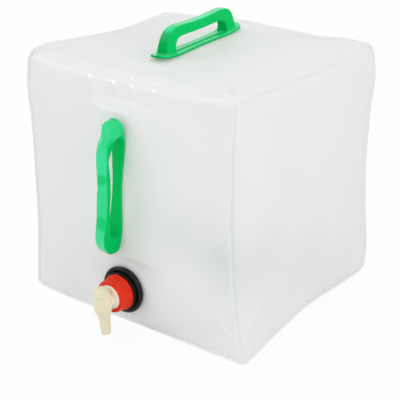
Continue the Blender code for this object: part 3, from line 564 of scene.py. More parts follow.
def join_parts(parts):
    """Several closed surfaces as one list of points and one of faces."""
    points, faces, start = [], [], 0
    for part in parts:
        points.append(part[0])
        for group in part[1:]:
            faces += (np.asarray(group) + start).tolist()
        start += len(part[0])
    return np.concatenate(points), faces


def placed(points, matrix):
    """Points moved by a matrix."""
    matrix = np.array(matrix)
    return points @ matrix[:3, :3].T + matrix[:3, 3]


def turned(profile, place, steps, closed=True, flutes=0.0, count=0):
    """A profile of (radius, height) carried round the local Z axis, then placed by a matrix.

    Point(angle, i) = (r cos angle, r sin angle, height_i), with r = radius_i + flute_i cos(count angle). A
    closed profile makes a ring or a tube, and any other is shut by a fan at each end.
    """
    profile = np.asarray(profile, dtype=float)
    turn = np.arange(steps) / steps * 2 * math.pi
    radius, height = profile[:, 0][:, None], profile[:, 1][:, None]
    radius = radius + np.broadcast_to(flutes, len(profile))[:, None] * np.cos(count * turn)
    rings = np.stack([radius * np.cos(turn), radius * np.sin(turn), height + 0 * turn], axis=2)
    if closed:
        points, *faces = rings.reshape(-1, 3), grid_faces(*rings.shape[:2], wrap_rows=True, wrap_columns=True)
    else:
        points, *faces = tube(rings)
    return placed(points, place), *faces


def rounded(corners, radii, steps=6):
    """A polyline whose corners are rounded: each corner becomes a quadratic arc between its two sides.

    Arc(t) = (1-t)^2 a + 2t(1-t) corner + t^2 b, with a and b one radius away along the sides.
    """
    corners = np.asarray(corners, dtype=float)
    t = np.linspace(0, 1, steps)[:, None]
    out = [corners[:1]]
    for before, corner, after, radius in zip(corners, corners[1:], corners[2:], radii):
        toward_before = (before - corner) / np.linalg.norm(before - corner)
        toward_after = (after - corner) / np.linalg.norm(after - corner)
        reach = min(radius, np.linalg.norm(before - corner) / 2, np.linalg.norm(after - corner) / 2)
        a, b = corner + toward_before * reach, corner + toward_after * reach
        out.append((1 - t) ** 2 * a + 2 * t * (1 - t) * corner + t**2 * b)
    out.append(corners[-1:])
    return np.concatenate(out)


def spline(points, steps):
    """A Catmull-Rom curve through the points, with steps pieces between each two.

    Run(t) = (2b + (c-a)t + (2a-5b+4c-d)t^2 + (3b-a-3c+d)t^3) / 2 for neighbours a, b, c and d.
    """
    points = np.asarray(points, dtype=float)
    padded = np.concatenate([2 * points[:1] - points[1:2], points, 2 * points[-1:] - points[-2:-1]])
    t = np.linspace(0, 1, steps + 1)[:-1, None]
    runs = [
        0.5 * (2 * b + (c - a) * t + (2 * a - 5 * b + 4 * c - d) * t**2 + (3 * b - a - 3 * c + d) * t**3)
        for a, b, c, d in zip(padded, padded[1:], padded[2:], padded[3:])
    ]
    return np.concatenate(runs + [points[-1:]])


def toward(cube, face):
    """1 on the named face of the cube, falling to 0 at its middle."""
    axis, way = FACES[face]
    return np.clip(cube[:, axis] * way, 0.0, 1.0)


def edge_share(cube, first, second, power=4):
    """1 on the edge between two faces of the cube, falling away to both sides, and the axis it runs along."""
    return (toward(cube, first) * toward(cube, second)) ** power, 3 - FACES[first][0] - FACES[second][0]


def seats():
    """The film's flats as in the solids: face, middle and half size across it, blend widths, and level."""
    def reach(grip, lean):
        half = grip.length / 2
        return grip.end_width / 2 + half * math.sin(lean) + SEAT_MARGIN, half + SEAT_MARGIN

    side, out, height = FRONT_GRIP_SPOT
    _, back, level = TOP_GRIP_SPOT
    ring = RING_RADIUS + SEAT_MARGIN
    return (
        ("front", (side, height), reach(FRONT_GRIP, FRONT_GRIP_LEAN), SEAT_BLEND,
         lambda x, z: -(out + math.tan(FRONT_GRIP_TILT) * (z - height))),
        ("front", (0, TAP_MIDDLE.z), (ring, ring), SEAT_BLEND, lambda x, z: -(FILM_HALF[1] + TAP_OUT)),
        ("top", (0, back), reach(TOP_GRIP, TOP_GRIP_LEAN), SEAT_BLEND,
         lambda x, y: level + math.tan(TOP_GRIP_TILT) * (y - back)),
        ("bottom", (0, 0), BASE_HALF, BASE_BLEND, lambda x, y: 0 * x),
    )


def film(cube, settings):
    """The film's outer surface and its outward direction over the surface of a cube from -1 to 1.

    p = core + r d, where d is the unit vector from the core of the sized cube. Each edge's middle is then
    drawn in by draw |a|^4 |b|^4 (1-c^2), each welded edge waves as its line says, each face bulges by
    bulge (1-a^2)(1-b^2), each corner is pulled by its vector times the product of ((1+q)/2)^3, and the
    seats are made flat.
    """
    radii = {"weld": 0.004, "crease": 0.0045, "fold": 0.012}
    nearness = np.full(len(cube), 1e-6)
    radius = nearness * radii["fold"]
    for first, second, kind, *_ in EDGES:
        near, _ = edge_share(cube, first, second, 8)
        radius = radius + near * radii[kind]
        nearness = nearness + near
    for corner, round_off in CORNER_ROUNDS.items():
        near = ROUND_WEIGHT * np.prod(np.clip(cube * np.array(corner), 0, 1), axis=1) ** ROUND_POWER
        radius = radius + near * round_off * MM
        nearness = nearness + near
    radius = (radius / nearness)[:, None]
    sized = cube * FILM_HALF
    core = np.clip(sized, radius - FILM_HALF, FILM_HALF - radius)
    outward = unit(sized - core)
    place = core + radius * outward

    crown = 1 - cube**2
    for first, second, _, *draws in EDGES:
        near, along = edge_share(cube, first, second)
        near = near * crown[:, along]
        for face, draw in zip((first, second), draws):
            axis, way = FACES[face]
            place[:, axis] -= way * draw * MM * near
    for (first, second), line in WELD_LINES.items():
        near, along = edge_share(cube, first, second)
        fine = spline(np.array(line)[:, None], 16)[:, 0]
        out = np.interp(cube[:, along], np.linspace(-1, 1, len(fine)), fine)
        for face in (first, second):
            if face != "bottom":
                axis, way = FACES[face]
                place[:, axis] += way * out * MM * near
    bulges = {face: settings.side_bulge for face in ("right", "left", "back")}
    bulges |= {"front": settings.front_bulge, "top": settings.top_bulge}
    for face, bulge in bulges.items():
        axis, way = FACES[face]
        across = crown[:, (axis + 1) % 3] * crown[:, (axis + 2) % 3]
        place[:, axis] += way * bulge * across * (toward(cube, face) >= 1)
    for corner, pull in CORNERS.items():
        near = np.prod((1 + cube * np.array(corner)) / 2, axis=1) ** 3
        place += near[:, None] * np.array(pull) * MM
    place[:, 2] += FILM_HALF[2] + RIM_LIFT

    for face, middle, half, blend, level in seats():
        axis, way = FACES[face]
        across = [i for i in range(3) if i != axis]
        off = [np.maximum(abs(place[:, i] - middle[k]) - half[k], 0) / blend[k] for k, i in enumerate(across)]
        flat = (1 - smooth_step(np.hypot(*off))) * (toward(cube, face) >= 1)
        place[:, axis] += flat * (level(place[:, across[0]], place[:, across[1]]) - place[:, axis])
    return place, outward


def creased(points, normals):
    """The film with its small creases: h e^-(d/w)^2 outward, d from a line, with a groove beside the ridge.

    Each ridge fades toward its second end. Beside it a painted shade line runs in the groove, and along it
    runs a painted highlight.
    """
    lift, painted_light = np.zeros(len(points)), np.zeros((len(points), 2))
    deepest, line_width, dark_place, light_place = 0.008, 0.7, 0.9, -0.1
    for start, end, height, width in CREASES:
        start, end = np.array(start) * MM, np.array(end) * MM
        run = end - start
        t = np.clip((points - start) @ run / (run @ run), 0, 1)
        gap = points - start - t[:, None] * run
        above = (gap * normals).sum(axis=1, keepdims=True)
        gap = gap - np.clip(above, -deepest, deepest) * normals
        side = np.cross(run / np.linalg.norm(run), normals)
        off = (gap * side).sum(axis=1) / (width * MM)
        far = np.linalg.norm(gap, axis=1) / (width * MM)
        fade = 1 - smooth_step((t - 0.3) / 0.7)
        lift += height * MM * fade * np.exp(-far**2) * (1 - 0.8 * off)
        near = fade * height * np.exp(-((far / 2) ** 2))
        painted_light[:, 0] += 0.45 * near * np.exp(-(((off - dark_place) / line_width) ** 2))
        painted_light[:, 1] += 1.6 * near * np.exp(-(((off - light_place) / line_width) ** 2))
    return points + normals * lift[:, None], painted_light


def painted_edge_lines(cube):
    """The painted shade line and painted highlight line along the sharp crease between front and right, and
    faint ones on the folds.

    Each is k e^-((u - u0)/w)^2, with u the distance from the edge along the face it lies on.
    """
    painted_light = np.zeros((len(cube), 2))
    middle, width = 0.012, 0.010
    for (first, second), strength in PAINTED_EDGE_LINES.items():
        for face, other, channel in ((first, second, 0), (second, first, 1)):
            axis, way = FACES[other]
            off = 1 - cube[:, axis] * way
            line = np.exp(-(((off - middle) / width) ** 2)) * (toward(cube, face) >= 1)
            painted_light[:, channel] += strength * line
    return painted_light


def cube_lines(count, cut):
    """Mesh lines from -1 to 1 at k sin(pi s / 2) + (1 - k) s, with the nearest ones moved to -cut and cut."""
    s, crowding = np.linspace(-1, 1, count + 1), 0.55
    lines = crowding * np.sin(math.pi / 2 * s) + (1 - crowding) * s
    for way in (-1, 1):
        lines[np.argmin(abs(lines - way * cut))] = way * cut
    return lines


def cube_surface(lines):
    """The six faces of the cube on shared lines as one closed surface: points and four-sided faces."""
    points, faces, start = [], [], 0
    for axis, way in FACES.values():
        first, second = ((axis + 1) % 3, (axis + 2) % 3) if way > 0 else ((axis + 2) % 3, (axis + 1) % 3)
        a, b = np.meshgrid(lines[first], lines[second], indexing="ij")
        face = np.zeros((a.size, 3))
        face[:, axis] = way
        face[:, first] = a.ravel()
        face[:, second] = b.ravel()
        points.append(face)
        faces.append(grid_faces(*a.shape, start=start))
        start += a.size
    points = np.concatenate(points)
    grid = np.rint(points * 1e7).astype(np.int64)
    _, keep, same = np.unique(grid, axis=0, return_index=True, return_inverse=True)
    return points[keep], same.reshape(-1)[np.concatenate(faces)]


def vertex_normals(points, faces):
    """Outward directions at the points: the sum of the cross products of the diagonals round each."""
    diagonal = points[faces[:, 2]] - points[faces[:, 0]]
    other = points[faces[:, 3]] - points[faces[:, 1]]
    area = np.cross(diagonal, other)
    normals = np.zeros_like(points)
    for corner in range(4):
        np.add.at(normals, faces[:, corner], area)
    return unit(normals)


def shell(points, normals, painted_light, faces, wall, at_cut):
    """Part of a surface with its inner side one wall further in, and its borders closed but for the cuts."""
    edges = np.concatenate([faces[:, [i, (i + 1) % 4]] for i in range(4)])
    count = len(points)
    key = edges[:, 0].astype(np.int64) * count + edges[:, 1]
    back = edges[:, 1].astype(np.int64) * count + edges[:, 0]
    border = edges[~np.isin(key, back)]
    border = border[~at_cut[border].all(axis=1)]
    rim = np.stack([border[:, 1], border[:, 0], border[:, 0] + count, border[:, 1] + count], axis=1)
    faces = np.concatenate([faces, faces[:, ::-1] + count, rim])
    points = np.concatenate([points, points - normals * wall])
    normals = np.concatenate([normals, -normals])
    painted_light = np.concatenate([painted_light, painted_light])
    used, new = np.unique(faces, return_inverse=True)
    return points[used], new.reshape(-1, 4), normals[used], painted_light[used]


def seam_runs(settings, cut):
    """The fused margin as flat oblong tubes along the six welded edges, parted where the film is parted.

    Point(s, angle) = edge(s) + out (w + a |cos|^0.6) + side b |sin|^0.6, with out the corner's direction.
    """
    turn = np.linspace(-math.pi / 2, math.pi / 2, 161)
    cube = []
    for start, end in zip(SEAM_CORNERS, SEAM_CORNERS[1:] + SEAM_CORNERS[:1]):
        share = (1 + np.sin(turn)) / 2
        if start[0] != end[0]:
            share = np.unique(np.concatenate([share, [(1 - cut) / 2, (1 + cut) / 2]]))
        share = share[:-1, None]
        cube.append(np.array(start) + share * (np.array(end) - np.array(start)))
    cube = np.concatenate(cube)
    edge, out = film(cube, settings)
    ahead = unit(np.roll(edge, -1, axis=0) - np.roll(edge, 1, axis=0))
    out = unit(out - (out * ahead).sum(axis=1, keepdims=True) * ahead)
    side = np.cross(ahead, out)
    angle = np.arange(16) / 16 * 2 * math.pi
    root, half_thickness, squareness = 0.0012, 0.0007, 0.6
    reach = (settings.seam_width + root) / 2
    over = np.sign(np.cos(angle)) * abs(np.cos(angle)) ** squareness * reach + reach - root
    across = np.sign(np.sin(angle)) * abs(np.sin(angle)) ** squareness * half_thickness
    rings = edge[:, None] + out[:, None] * over[None, :, None] + side[:, None] * across[None, :, None]
    slack = 1e-6
    limits = {"left": (-2, -cut), "middle": (-cut, cut), "right": (cut, 2)}
    zones = {zone: [] for zone in limits}
    for zone, (low, high) in limits.items():
        inside = (cube[:, 0] >= low - slack) & (cube[:, 0] <= high + slack)
        for start in np.where(inside & ~np.roll(inside, 1))[0]:
            run = np.roll(np.arange(len(cube)), -start)
            zones[zone].append(tube(rings[run[: np.argmin(inside[run])]]))
    return zones


class CARRIER_OT_film(bpy.types.Operator):
    """Makes the film as three parts of one surface, with the fused margin on its welded edges"""

    bl_idname = "carrier.film"
    bl_label = "Make the film"

    def execute(self, context):
        settings = context.scene.carrier_film
        cut = SQUEEZE_START / FILM_HALF[0]
        cube, faces = cube_surface([cube_lines(FILM_LINES, part) for part in (cut, 0.9, 0.9)])
        points, _ = film(cube, settings)
        # The creases and the edges give the film its painted shade and highlight lines
        points, painted_light = creased(points, vertex_normals(points, faces))
        painted_light += painted_edge_lines(cube)
        normals = vertex_normals(points, faces)
        middle, place = cube[faces].mean(axis=1), points[faces].mean(axis=1)
        from_axis = np.hypot(place[:, 0], place[:, 2] - TAP_MIDDLE.z)
        hole = (from_axis < NECK_HOLE_RADIUS) & (middle[:, 1] <= -1)
        at_cut = abs(abs(cube[:, 0]) - cut) < 1e-6
        seams = seam_runs(settings, cut)
        finish = film_material("frosted_film", settings, 1.0)
        margin = film_material("fused_margin", settings, 0.97)
        walls = ("near_shell_front", "near_shell_top", "far_shell_back", "far_shell_bottom", "seam_margin")
        zones = {
            "middle": (abs(middle[:, 0]) < cut, walls),
            "right": (middle[:, 0] > cut, ("near_shell_right",)),
            "left": (middle[:, 0] < -cut, ("far_shell_left",)),
        }
        for zone, (chosen, nodes) in zones.items():
            skin = shell(points, normals, painted_light, faces[chosen & ~hole], settings.wall, at_cut)
            piece = give_mesh(f"film_{zone}", *join_parts([skin[:2], *seams[zone]]), finish)
            piece.data.materials.append(margin)
            slots = np.ones(len(piece.data.polygons), dtype=np.int32)
            slots[: len(skin[1])] = 0
            piece.data.polygons.foreach_set("material_index", slots)
            set_normals(piece, skin[2])
            set_painted_light(piece, skin[3])
            seat_piece(piece, "bag", *nodes)
            if zone != "middle":
                way = 1 if zone == "right" else -1
                way * cut * FILM_HALF[0]
                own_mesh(piece)
        return {"FINISHED"}


# Halves of the grips from foot to middle: the bar's outer and inner side, each in thousandths of half the
# foot span and of the rise. The front grip's upper leg has sunk, so that it has a half of its own.
LOWER_HALF = (
    (1000, 0, 728, 0), (992, 164, 725, 164), (968, 334, 712, 317), (925, 500, 683, 433),
    (866, 665, 638, 512), (790, 805, 575, 556), (670, 905, 494, 570), (524, 945, 390, 567),
    (330, 945, 255, 556), (150, 945, 120, 549), (0, 945, 0, 546),
)
UPPER_HALF = (
    (1000, 0, 728, 0), (998, 150, 725, 110), (990, 290, 712, 200), (968, 400, 690, 280),
    (925, 470, 660, 350), (865, 530, 620, 380), (800, 610, 570, 410), (735, 740, 510, 440),
    (660, 880, 440, 460), (560, 950, 360, 485), (400, 960, 270, 515), (200, 945, 150, 540),
)
TOP_HALF = (
    (1000, 0, 728, 0), (990, 164, 725, 164), (973, 334, 712, 317), (945, 522, 683, 433),
    (905, 693, 638, 512), (830, 860, 575, 556), (710, 968, 494, 570), (560, 1000, 390, 567),
    (350, 975, 255, 556), (160, 955, 120, 549), (0, 950, 0, 546),
)


def end_lift(along, grip):
    """How far the plate has lifted from the film: lift t^2, t from 0 near its middle to 1 at its ends."""
    start = LIFT_START * grip.length / 2
    return grip.end_lift * np.clip((abs(along) - start) / (grip.length / 2 - start), 0, 1) ** 2


def rounded_square(flat_points=11, arc_points=7):
    """A square with rounded corners as cores in shares of its half sides, and directions out of them."""
    corners = np.array(((1, 1), (-1, 1), (-1, -1), (1, -1)), dtype=float)
    cores, ways = [], []
    for i, corner in enumerate(corners):
        turn = np.radians(90 * i + np.linspace(0, 90, arc_points))
        cores.append(np.repeat(corner[None], arc_points, axis=0))
        ways.append(np.stack([np.cos(turn), np.sin(turn)], axis=1))
        share = np.linspace(0, 1, flat_points + 2)[1:-1, None]
        cores.append(corner + share * (corners[(i + 1) % 4] - corner))
        ways.append(np.repeat(ways[-1][-1:], flat_points, axis=0))
    return np.concatenate(cores), np.concatenate(ways)


def grip_bar(grip, halves, settings):
    """The bowed bar and its two legs: rounded oblong rings between an outer and an inner side line.

    Ring point = middle + across (core_u (a - r) + way_u r) + reach (core_v (b - r) + way_v r - flute), turned
    by the bar's twist and moved by its sway. It flares into a fillet at the plate.
    """
    upper, lower = (np.array(half) / 1000 for half in halves)
    if np.array_equal(upper, lower):
        upper = upper[:-1]
    rows = spline(np.concatenate([upper, lower[::-1] * (-1, 1, -1, 1)]), 9)
    foot = PLATE_THICKNESS / 2
    sides = []
    for place, height in ((rows[:, 0], rows[:, 1]), (rows[:, 2], rows[:, 3])):
        along = place * grip.foot_share * grip.length / 2
        sides.append(np.stack([along, foot + height * (grip.rise - foot) + end_lift(along, grip)], axis=1))
    outer, inner = sides
    middle, reach = (outer + inner) / 2, (outer - inner) / 2
    thick = np.linalg.norm(reach, axis=1)
    leg_share = 0.8
    low = np.clip(1 - middle[:, 1] / grip.rise / leg_share, 0, 1) ** grip.spread
    width = (grip.bar_width + (grip.foot_width - grip.bar_width) * low) / 2
    width = width + 0.22 * grip.sway * np.exp(-(((rows[:, 0] - 0.5) / 0.22) ** 2))
    fillet = settings.fillet + 0.3 * grip.foot_round
    above = middle[:, 1] - end_lift(middle[:, 0], grip) - PLATE_THICKNESS
    flare = fillet * (1 - np.sqrt(1 - np.clip(1 - above / fillet, 0, 1) ** 2))
    room = 2.7 * (1 - grip.foot_share)
    width, deep = (width + flare * room)[:, None], (thick + flare * room * 2)[:, None]
    corner = settings.corner_radius + (grip.foot_round - settings.corner_radius) * (
        low ** np.where(rows[:, 0] > 0, 0.5, 1.5)
    )[:, None]
    corner = np.minimum(corner, np.minimum(width, deep) * 0.98)
    core, way = rounded_square()
    place = rows[:, 0][:, None]
    across = core[:, 0] * (width - corner) + way[:, 0] * corner
    flutes = np.cos(core[:, 0] * 2.5 * math.pi) * (way[:, 1] > 0.999)
    groove = settings.flute_depth * flutes * (1 - 0.6 * abs(place) ** 8)
    out = core[:, 1] * (deep - corner) + way[:, 1] * corner - groove
    twist = grip.twist * smooth_step((place + 0.75) / 0.5) * smooth_step((0.97 - place) / 0.35)
    across, out = across * np.cos(twist) - out * np.sin(twist), across * np.sin(twist) + out * np.cos(twist)
    height = rows[:, 1][:, None]
    across = across + grip.sway * smooth_step(place / 0.7) * smooth_step(height)
    flat = middle[:, None] + (reach / thick[:, None])[:, None] * out[..., None]
    rings = np.stack([flat[..., 0], across, flat[..., 1]], axis=2)
    return tube(rings[:, ::-1])


def grip_plate(grip, settings):
    """The waisted plate with round, lifted ends: sections across it with a rim, a middle rib and soft edges.

    Half width(x) = end - narrow (1 - step(|x|/reach)), and a circle at each end. The top is
    thick - soft (1 - sqrt(1 - (1-e/soft)^2)) at e from the edge, with the rim and the rib added.
    """
    end, soft, rib = grip.end_width / 2, 0.0008, 0.0018
    reach = grip.length / 2 - end
    narrow = (grip.end_width - grip.waist_width) / 2
    turn = np.linspace(math.radians(4), math.pi / 2, 16)[:-1]
    run = np.linspace(-reach, reach, 81)
    middle = end - narrow * (1 - smooth_step(abs(run) / reach))
    along = np.concatenate([-reach - end * np.cos(turn), run, reach + end * np.cos(turn[::-1])])
    width = np.concatenate([end * np.sin(turn), middle, end * np.sin(turn[::-1])])[:, None]
    near_rib = np.array((0.0, 0.7, 1.3, 1.5, 1.6, 1.7, 1.8, 1.9, 2.0, 2.1, 2.4)) * MM
    near_edge = np.array((2.4, 1.9, 1.6, 1.4, 1.2, 1.0, 0.8, 0.55, 0.35, 0.18, 0.06, 0.0)) * MM
    squeeze = np.minimum(1, width / 2 / 0.0024)
    side = np.concatenate([near_rib * squeeze, width - near_edge * squeeze], axis=1)
    edge = width - side
    top = PLATE_THICKNESS - soft * (1 - np.sqrt(1 - (1 - np.clip(edge / soft, 0, 1)) ** 2))
    lines = np.clip((1 - grip.foot_share) / 0.1, 0, 1)
    top = top + lines * settings.rim_height * np.exp(-(((edge - 0.0012) / 0.0004) ** 2)) * squeeze
    leg = 0.85 * grip.foot_share * grip.length / 2
    in_run = 1 - smooth_step((abs(along[:, None]) - leg) / 0.002)
    top = top + lines * settings.rib_height * in_run * (1 - smooth_step((side - rib + 0.0003) / 0.0006))
    top = np.concatenate([top[:, :0:-1], top], axis=1)
    side = np.concatenate([-side[:, :0:-1], side], axis=1)
    across = np.concatenate([side, side[:, ::-1]], axis=1)
    rise = np.concatenate([top, 0 * top], axis=1) + end_lift(along, grip)[:, None]
    rings = np.stack([np.repeat(along[:, None], across.shape[1], axis=1), across, rise], axis=2)
    return tube(rings)


class CARRIER_OT_grips(bpy.types.Operator):
    """Makes the two grips, each one moulding of a ribbed plate and a bowed bar"""

    bl_idname = "carrier.grips"
    bl_label = "Make the grips"

    def execute(self, context):
        settings = context.scene.carrier_grips
        finish = green_material(settings)
        upright = Matrix(((0, -1, 0, 0), (0, 0, -1, 0), (1, 0, 0, 0), (0, 0, 0, 1)))
        side, out, height = FRONT_GRIP_SPOT
        _, back, level = TOP_GRIP_SPOT
        on_front = (
            Matrix.Translation((side, -out - SEAT_GAP, height)) @ Matrix.Rotation(FRONT_GRIP_TILT, 4, "X")
            @ Matrix.Rotation(FRONT_GRIP_LEAN, 4, "Y") @ upright
        )
        on_top = (
            Matrix.Translation((0, back, level + SEAT_GAP)) @ Matrix.Rotation(TOP_GRIP_TILT, 4, "X")
            @ Matrix.Rotation(math.pi / 2 + TOP_GRIP_LEAN, 4, "Z")
        )
        shapes = {
            "front_grip": (FRONT_GRIP, (UPPER_HALF, LOWER_HALF), on_front),
            "top_grip": (TOP_GRIP, (TOP_HALF, TOP_HALF), on_top),
        }
        for name, (grip, halves, place) in shapes.items():
            points, faces = join_parts([grip_bar(grip, halves, settings), grip_plate(grip, settings)])
            piece = give_mesh(f"{name}_moulding", placed(points, place), faces, finish)
            # Faces that look out of the plate are painted lit and the rest painted as shaded sides; the same
            # share sets the coat gloss
            face = facing(piece, np.array(place)[:3, 2])
            if name == "front_grip":
                # Below 6 mm it is painted as shaded side, its upper end is painted as lit face again, and its
                # lower end gets painted shade
                face = face * smooth_step((points[:, 2] - 0.006) / 0.006)
                face = np.maximum(face, 0.8 * smooth_step((points[:, 0] - 0.050) / 0.008))
                end = 0.35 * smooth_step((-0.040 - points[:, 0]) / 0.008) * (1 - face)
            else:
                # The top grip's faces that look to the front get painted shade
                end = facing(piece, (0, -1, 0))
            set_painted_light(piece, np.stack([face, end], axis=1))
            seat_piece(piece, "bag", name)
        return {"FINISHED"}


def tap_place(lean=0.0):
    """A matrix whose local Z runs outward along the tap from the film's outer face."""
    return (
        Matrix.Translation((TAP_MIDDLE.x, TAP_FACE, TAP_MIDDLE.z))
        @ Matrix.Rotation(math.pi / 2, 4, "X") @ Matrix.Rotation(lean, 4, "Z")
    )


def arc(centre, radius, start, end, count):
    """Points on an arc, between two angles in degrees."""
    turn = np.radians(np.linspace(start, end, count))
    return np.stack([centre[0] + radius * np.cos(turn), centre[1] + radius * np.sin(turn)], axis=1)


def thread_part(place, radius, start, end, pitch, depth):
    """A screw thread: a rounded ridge on a helix that fades at both ends.

    Ridge(a, t) = (r cos a, r sin a, start + pitch a / 2 pi + w sin t), with r = radius + depth f cos t.
    """
    turns = (end - start) / pitch
    steps_per_turn, fade_angle, half_width, sunk = 72, 0.9, pitch * 0.26, 0.0002
    angle = np.linspace(0, turns * 2 * math.pi, int(steps_per_turn * turns))
    fade = smooth_step(np.minimum(angle, angle[-1] - angle) / fade_angle)
    t = np.arange(10) / 10 * 2 * math.pi
    reach = radius + (depth * fade[:, None] * np.cos(t)[None] - sunk)
    height = start + pitch * angle[:, None] / (2 * math.pi) + half_width * np.sin(t)[None]
    rings = np.stack([reach * np.cos(angle)[:, None], reach * np.sin(angle)[:, None], height], axis=2)
    points, *faces = tube(rings)
    return placed(points, place), *faces


class CARRIER_OT_tap(bpy.types.Operator):
    """Makes the neck fitting, the screw collar, the spigot and its cap, and finishes the hidden pieces"""

    bl_idname = "carrier.tap"
    bl_label = "Make the tap"

    def execute(self, context):
        settings = context.scene.carrier_tap
        self.neck(plastic_material("black_plastic", settings.ring_colour, 0.14, index=1.30))
        self.collar(plastic_material("red_plastic", settings.collar_colour, 0.24, index=1.24))
        # The boss inside the collar is painted lighter and warmer, as painted light
        lit_place = ((TAP_MIDDLE.x, COLLAR_LOW.y, TAP_MIDDLE.z), 0.012, 0.019, settings.lit_boss_colour)
        self.spigot(plastic_material("cream_plastic", settings.spigot_colour, 0.30, 0.3, lit_place=lit_place))
        natural = plastic_material("natural_plastic", (0.80, 0.80, 0.76), 0.35, 0.2)
        finishes = {"back_nut": natural, "port_disc": natural}
        for node in ("outer_gasket", "inner_gasket", "neck_o_ring", "face_seal"):
            finishes[node] = rubber_material(f"{node}_rubber")
        for node, finish in finishes.items():
            NODES[node].data.materials.clear()
            NODES[node].data.materials.append(finish)
        return {"FINISHED"}

    def neck(self, finish):
        """The ring with its bead, the step and the threaded tube."""
        tail, flange, step, mouth = -0.0095, 0.0016, 0.0104, 0.0182
        bore, tube_radius, step_radius, ring, bead = 0.0136, 0.0166, 0.0212, RING_RADIUS, 0.0026
        profile = np.concatenate([
            [(tube_radius, mouth - 0.0006), (tube_radius, step)],
            rounded([(tube_radius, step), (step_radius, step), (step_radius, 0.0050)], [0.0006]),
            [(0.0213, 0.0047)],
            arc((ring - bead, flange + bead), bead, 148, -60, 30),
            [(ring - bead, flange), (tube_radius, flange), (tube_radius, tail), (bore, tail),
             (bore, mouth), (tube_radius - 0.0006, mouth)],
        ])
        place = tap_place()
        parts = [
            turned(profile[::-1], place, 144),
            thread_part(place, tube_radius, step + 0.0012, mouth - 0.0010, 0.0030, 0.0003),
            thread_part(place, tube_radius, tail + 0.0007, -0.0030, 0.0020, 0.0003),
        ]
        seat_piece(give_mesh("neck_ring", *join_parts(parts), finish), "bag", "neck_fitting")

    def collar(self, finish):
        """The collar: a full, faintly fluted side between a hem at the back and a rolled front lip."""
        back, front, wide, hem = COLLAR_BACK, COLLAR_FRONT, COLLAR_RADIUS, COLLAR_BACK + 0.0014
        waist, narrow, opening, bore = wide - 0.0013, 0.0175, 0.0134, 0.0169
        lip_depth, flute_depth, flute_count = 0.0020, 0.00022, 60
        share = np.linspace(0, 1, 20)
        side = np.stack([
            waist - (waist - narrow) * share**2.6, hem + 0.0004 + (front - 0.0016 - hem - 0.0004) * share
        ], axis=1)
        hem_line = rounded([(bore, back), (wide, back), (wide, hem), (waist, hem + 0.0002), side[0]],
                           [0.0004, 0.0004, 0.0002])
        lip = rounded(
            [side[-1], (narrow - 0.0003, front), (opening, front + 0.0002), (opening, front - lip_depth)],
            [0.0014, 0.0010], 9,
        )[1:]
        profile = np.concatenate([hem_line, side[1:], lip, [(bore, front - lip_depth)]])
        flutes = np.zeros(len(profile))
        ends = np.minimum(share[1:], 1 - share[1:])
        flutes[len(hem_line): len(hem_line) + len(side) - 1] = flute_depth * smooth_step(ends / 0.12)
        shape = join_parts([turned(profile, tap_place(), 480, True, flutes, flute_count)])
        seat_piece(give_mesh("collar_shell", *shape, finish), "collar", "screw_collar")

    def spigot(self, finish):
        """The flange and boss, the barrel, the upright body with its spout, and the cap."""
        place = tap_place(math.radians(6.5))
        front, flange_front = COLLAR_FRONT, COLLAR_FRONT - 0.0023
        middle, bore, body_top, body_low = 0.0005, 0.0036, 0.0062, -0.0360
        flange_back, flange_radius, boss_radius = flange_front - 0.0017, 0.0163, 0.0131
        boss = rounded([
            (middle, flange_back), (flange_radius, flange_back), (flange_radius, flange_front),
            (boss_radius, flange_front), (boss_radius, front + 0.0001), (0.0121, front + 0.0009),
            (0.0115, front + 0.0007), (0.0108, front + 0.0010), (middle, front + 0.0012),
        ], [0.0002, 0.0002, 0.0002, 0.0005, 0.0004, 0.0003, 0.0006])
        axis = 0.0112
        upright = place @ Matrix.Translation((0, 0, front + axis)) @ Matrix.Rotation(-math.pi / 2, 4, "X")
        side = [(9.5, -6.0), (9.35, -8.6), (8.6, -11.2), (7.45, -13.8), (6.6, -16.2),
                (6.12, -18.8), (5.8, -23.5), (5.5, -29.5), (5.2, -35.4)]
        curve = spline(np.array(side) * MM, 6)
        outside = np.concatenate([
            rounded([(bore, body_top), (0.0094, body_top), (0.0095, body_top - 0.0012), curve[0]],
                    [0.0001, 0.0006]),
            curve[1:],
            rounded([curve[-1], (0.0051, body_low), (bore, body_low)], [0.0005])[1:],
            [(bore, 0.0)],
        ])
        flare = arc((0.0098, front + 0.0038), 0.0030, 250, 180, 8)
        barrel_end = front + axis - 0.0040
        barrel = np.concatenate([
            [(middle, flange_front), (0.0090, flange_front)], flare,
            [(0.0068, barrel_end), (middle, barrel_end)],
        ])
        low = Matrix.Translation((0, -0.0025, 0))
        shape = join_parts([
            turned(boss[::-1], place, 128, False), turned(barrel[::-1], place @ low, 80, False),
            turned(outside[::-1], upright, 96),
        ])
        seat_piece(give_mesh("spigot_elbow", *shape, finish), "spigot", "spigot")
        seat, plug_end, plug, head, crown = body_top + 0.0001, body_top - 0.0022, 0.0033, 0.0091, 0.0062
        top = seat + 0.0096
        turn = np.linspace(0, math.pi / 2, 22)[:-1]
        dome = np.concatenate([
            [(0.0003, plug_end), (plug, plug_end), (plug, seat)],
            rounded([(plug, seat), (head, seat), (head, seat + 0.0014)], [0.0001])[1:],
            np.stack([head * np.cos(turn) ** 0.86, top - crown + crown * np.sin(turn) ** 0.92], axis=1),
            [(0.0003, top)],
        ])
        shape = join_parts([turned(dome, upright, 96, False)])
        seat_piece(give_mesh("spigot_dome", *shape, finish), "spigot", "spigot_cap")


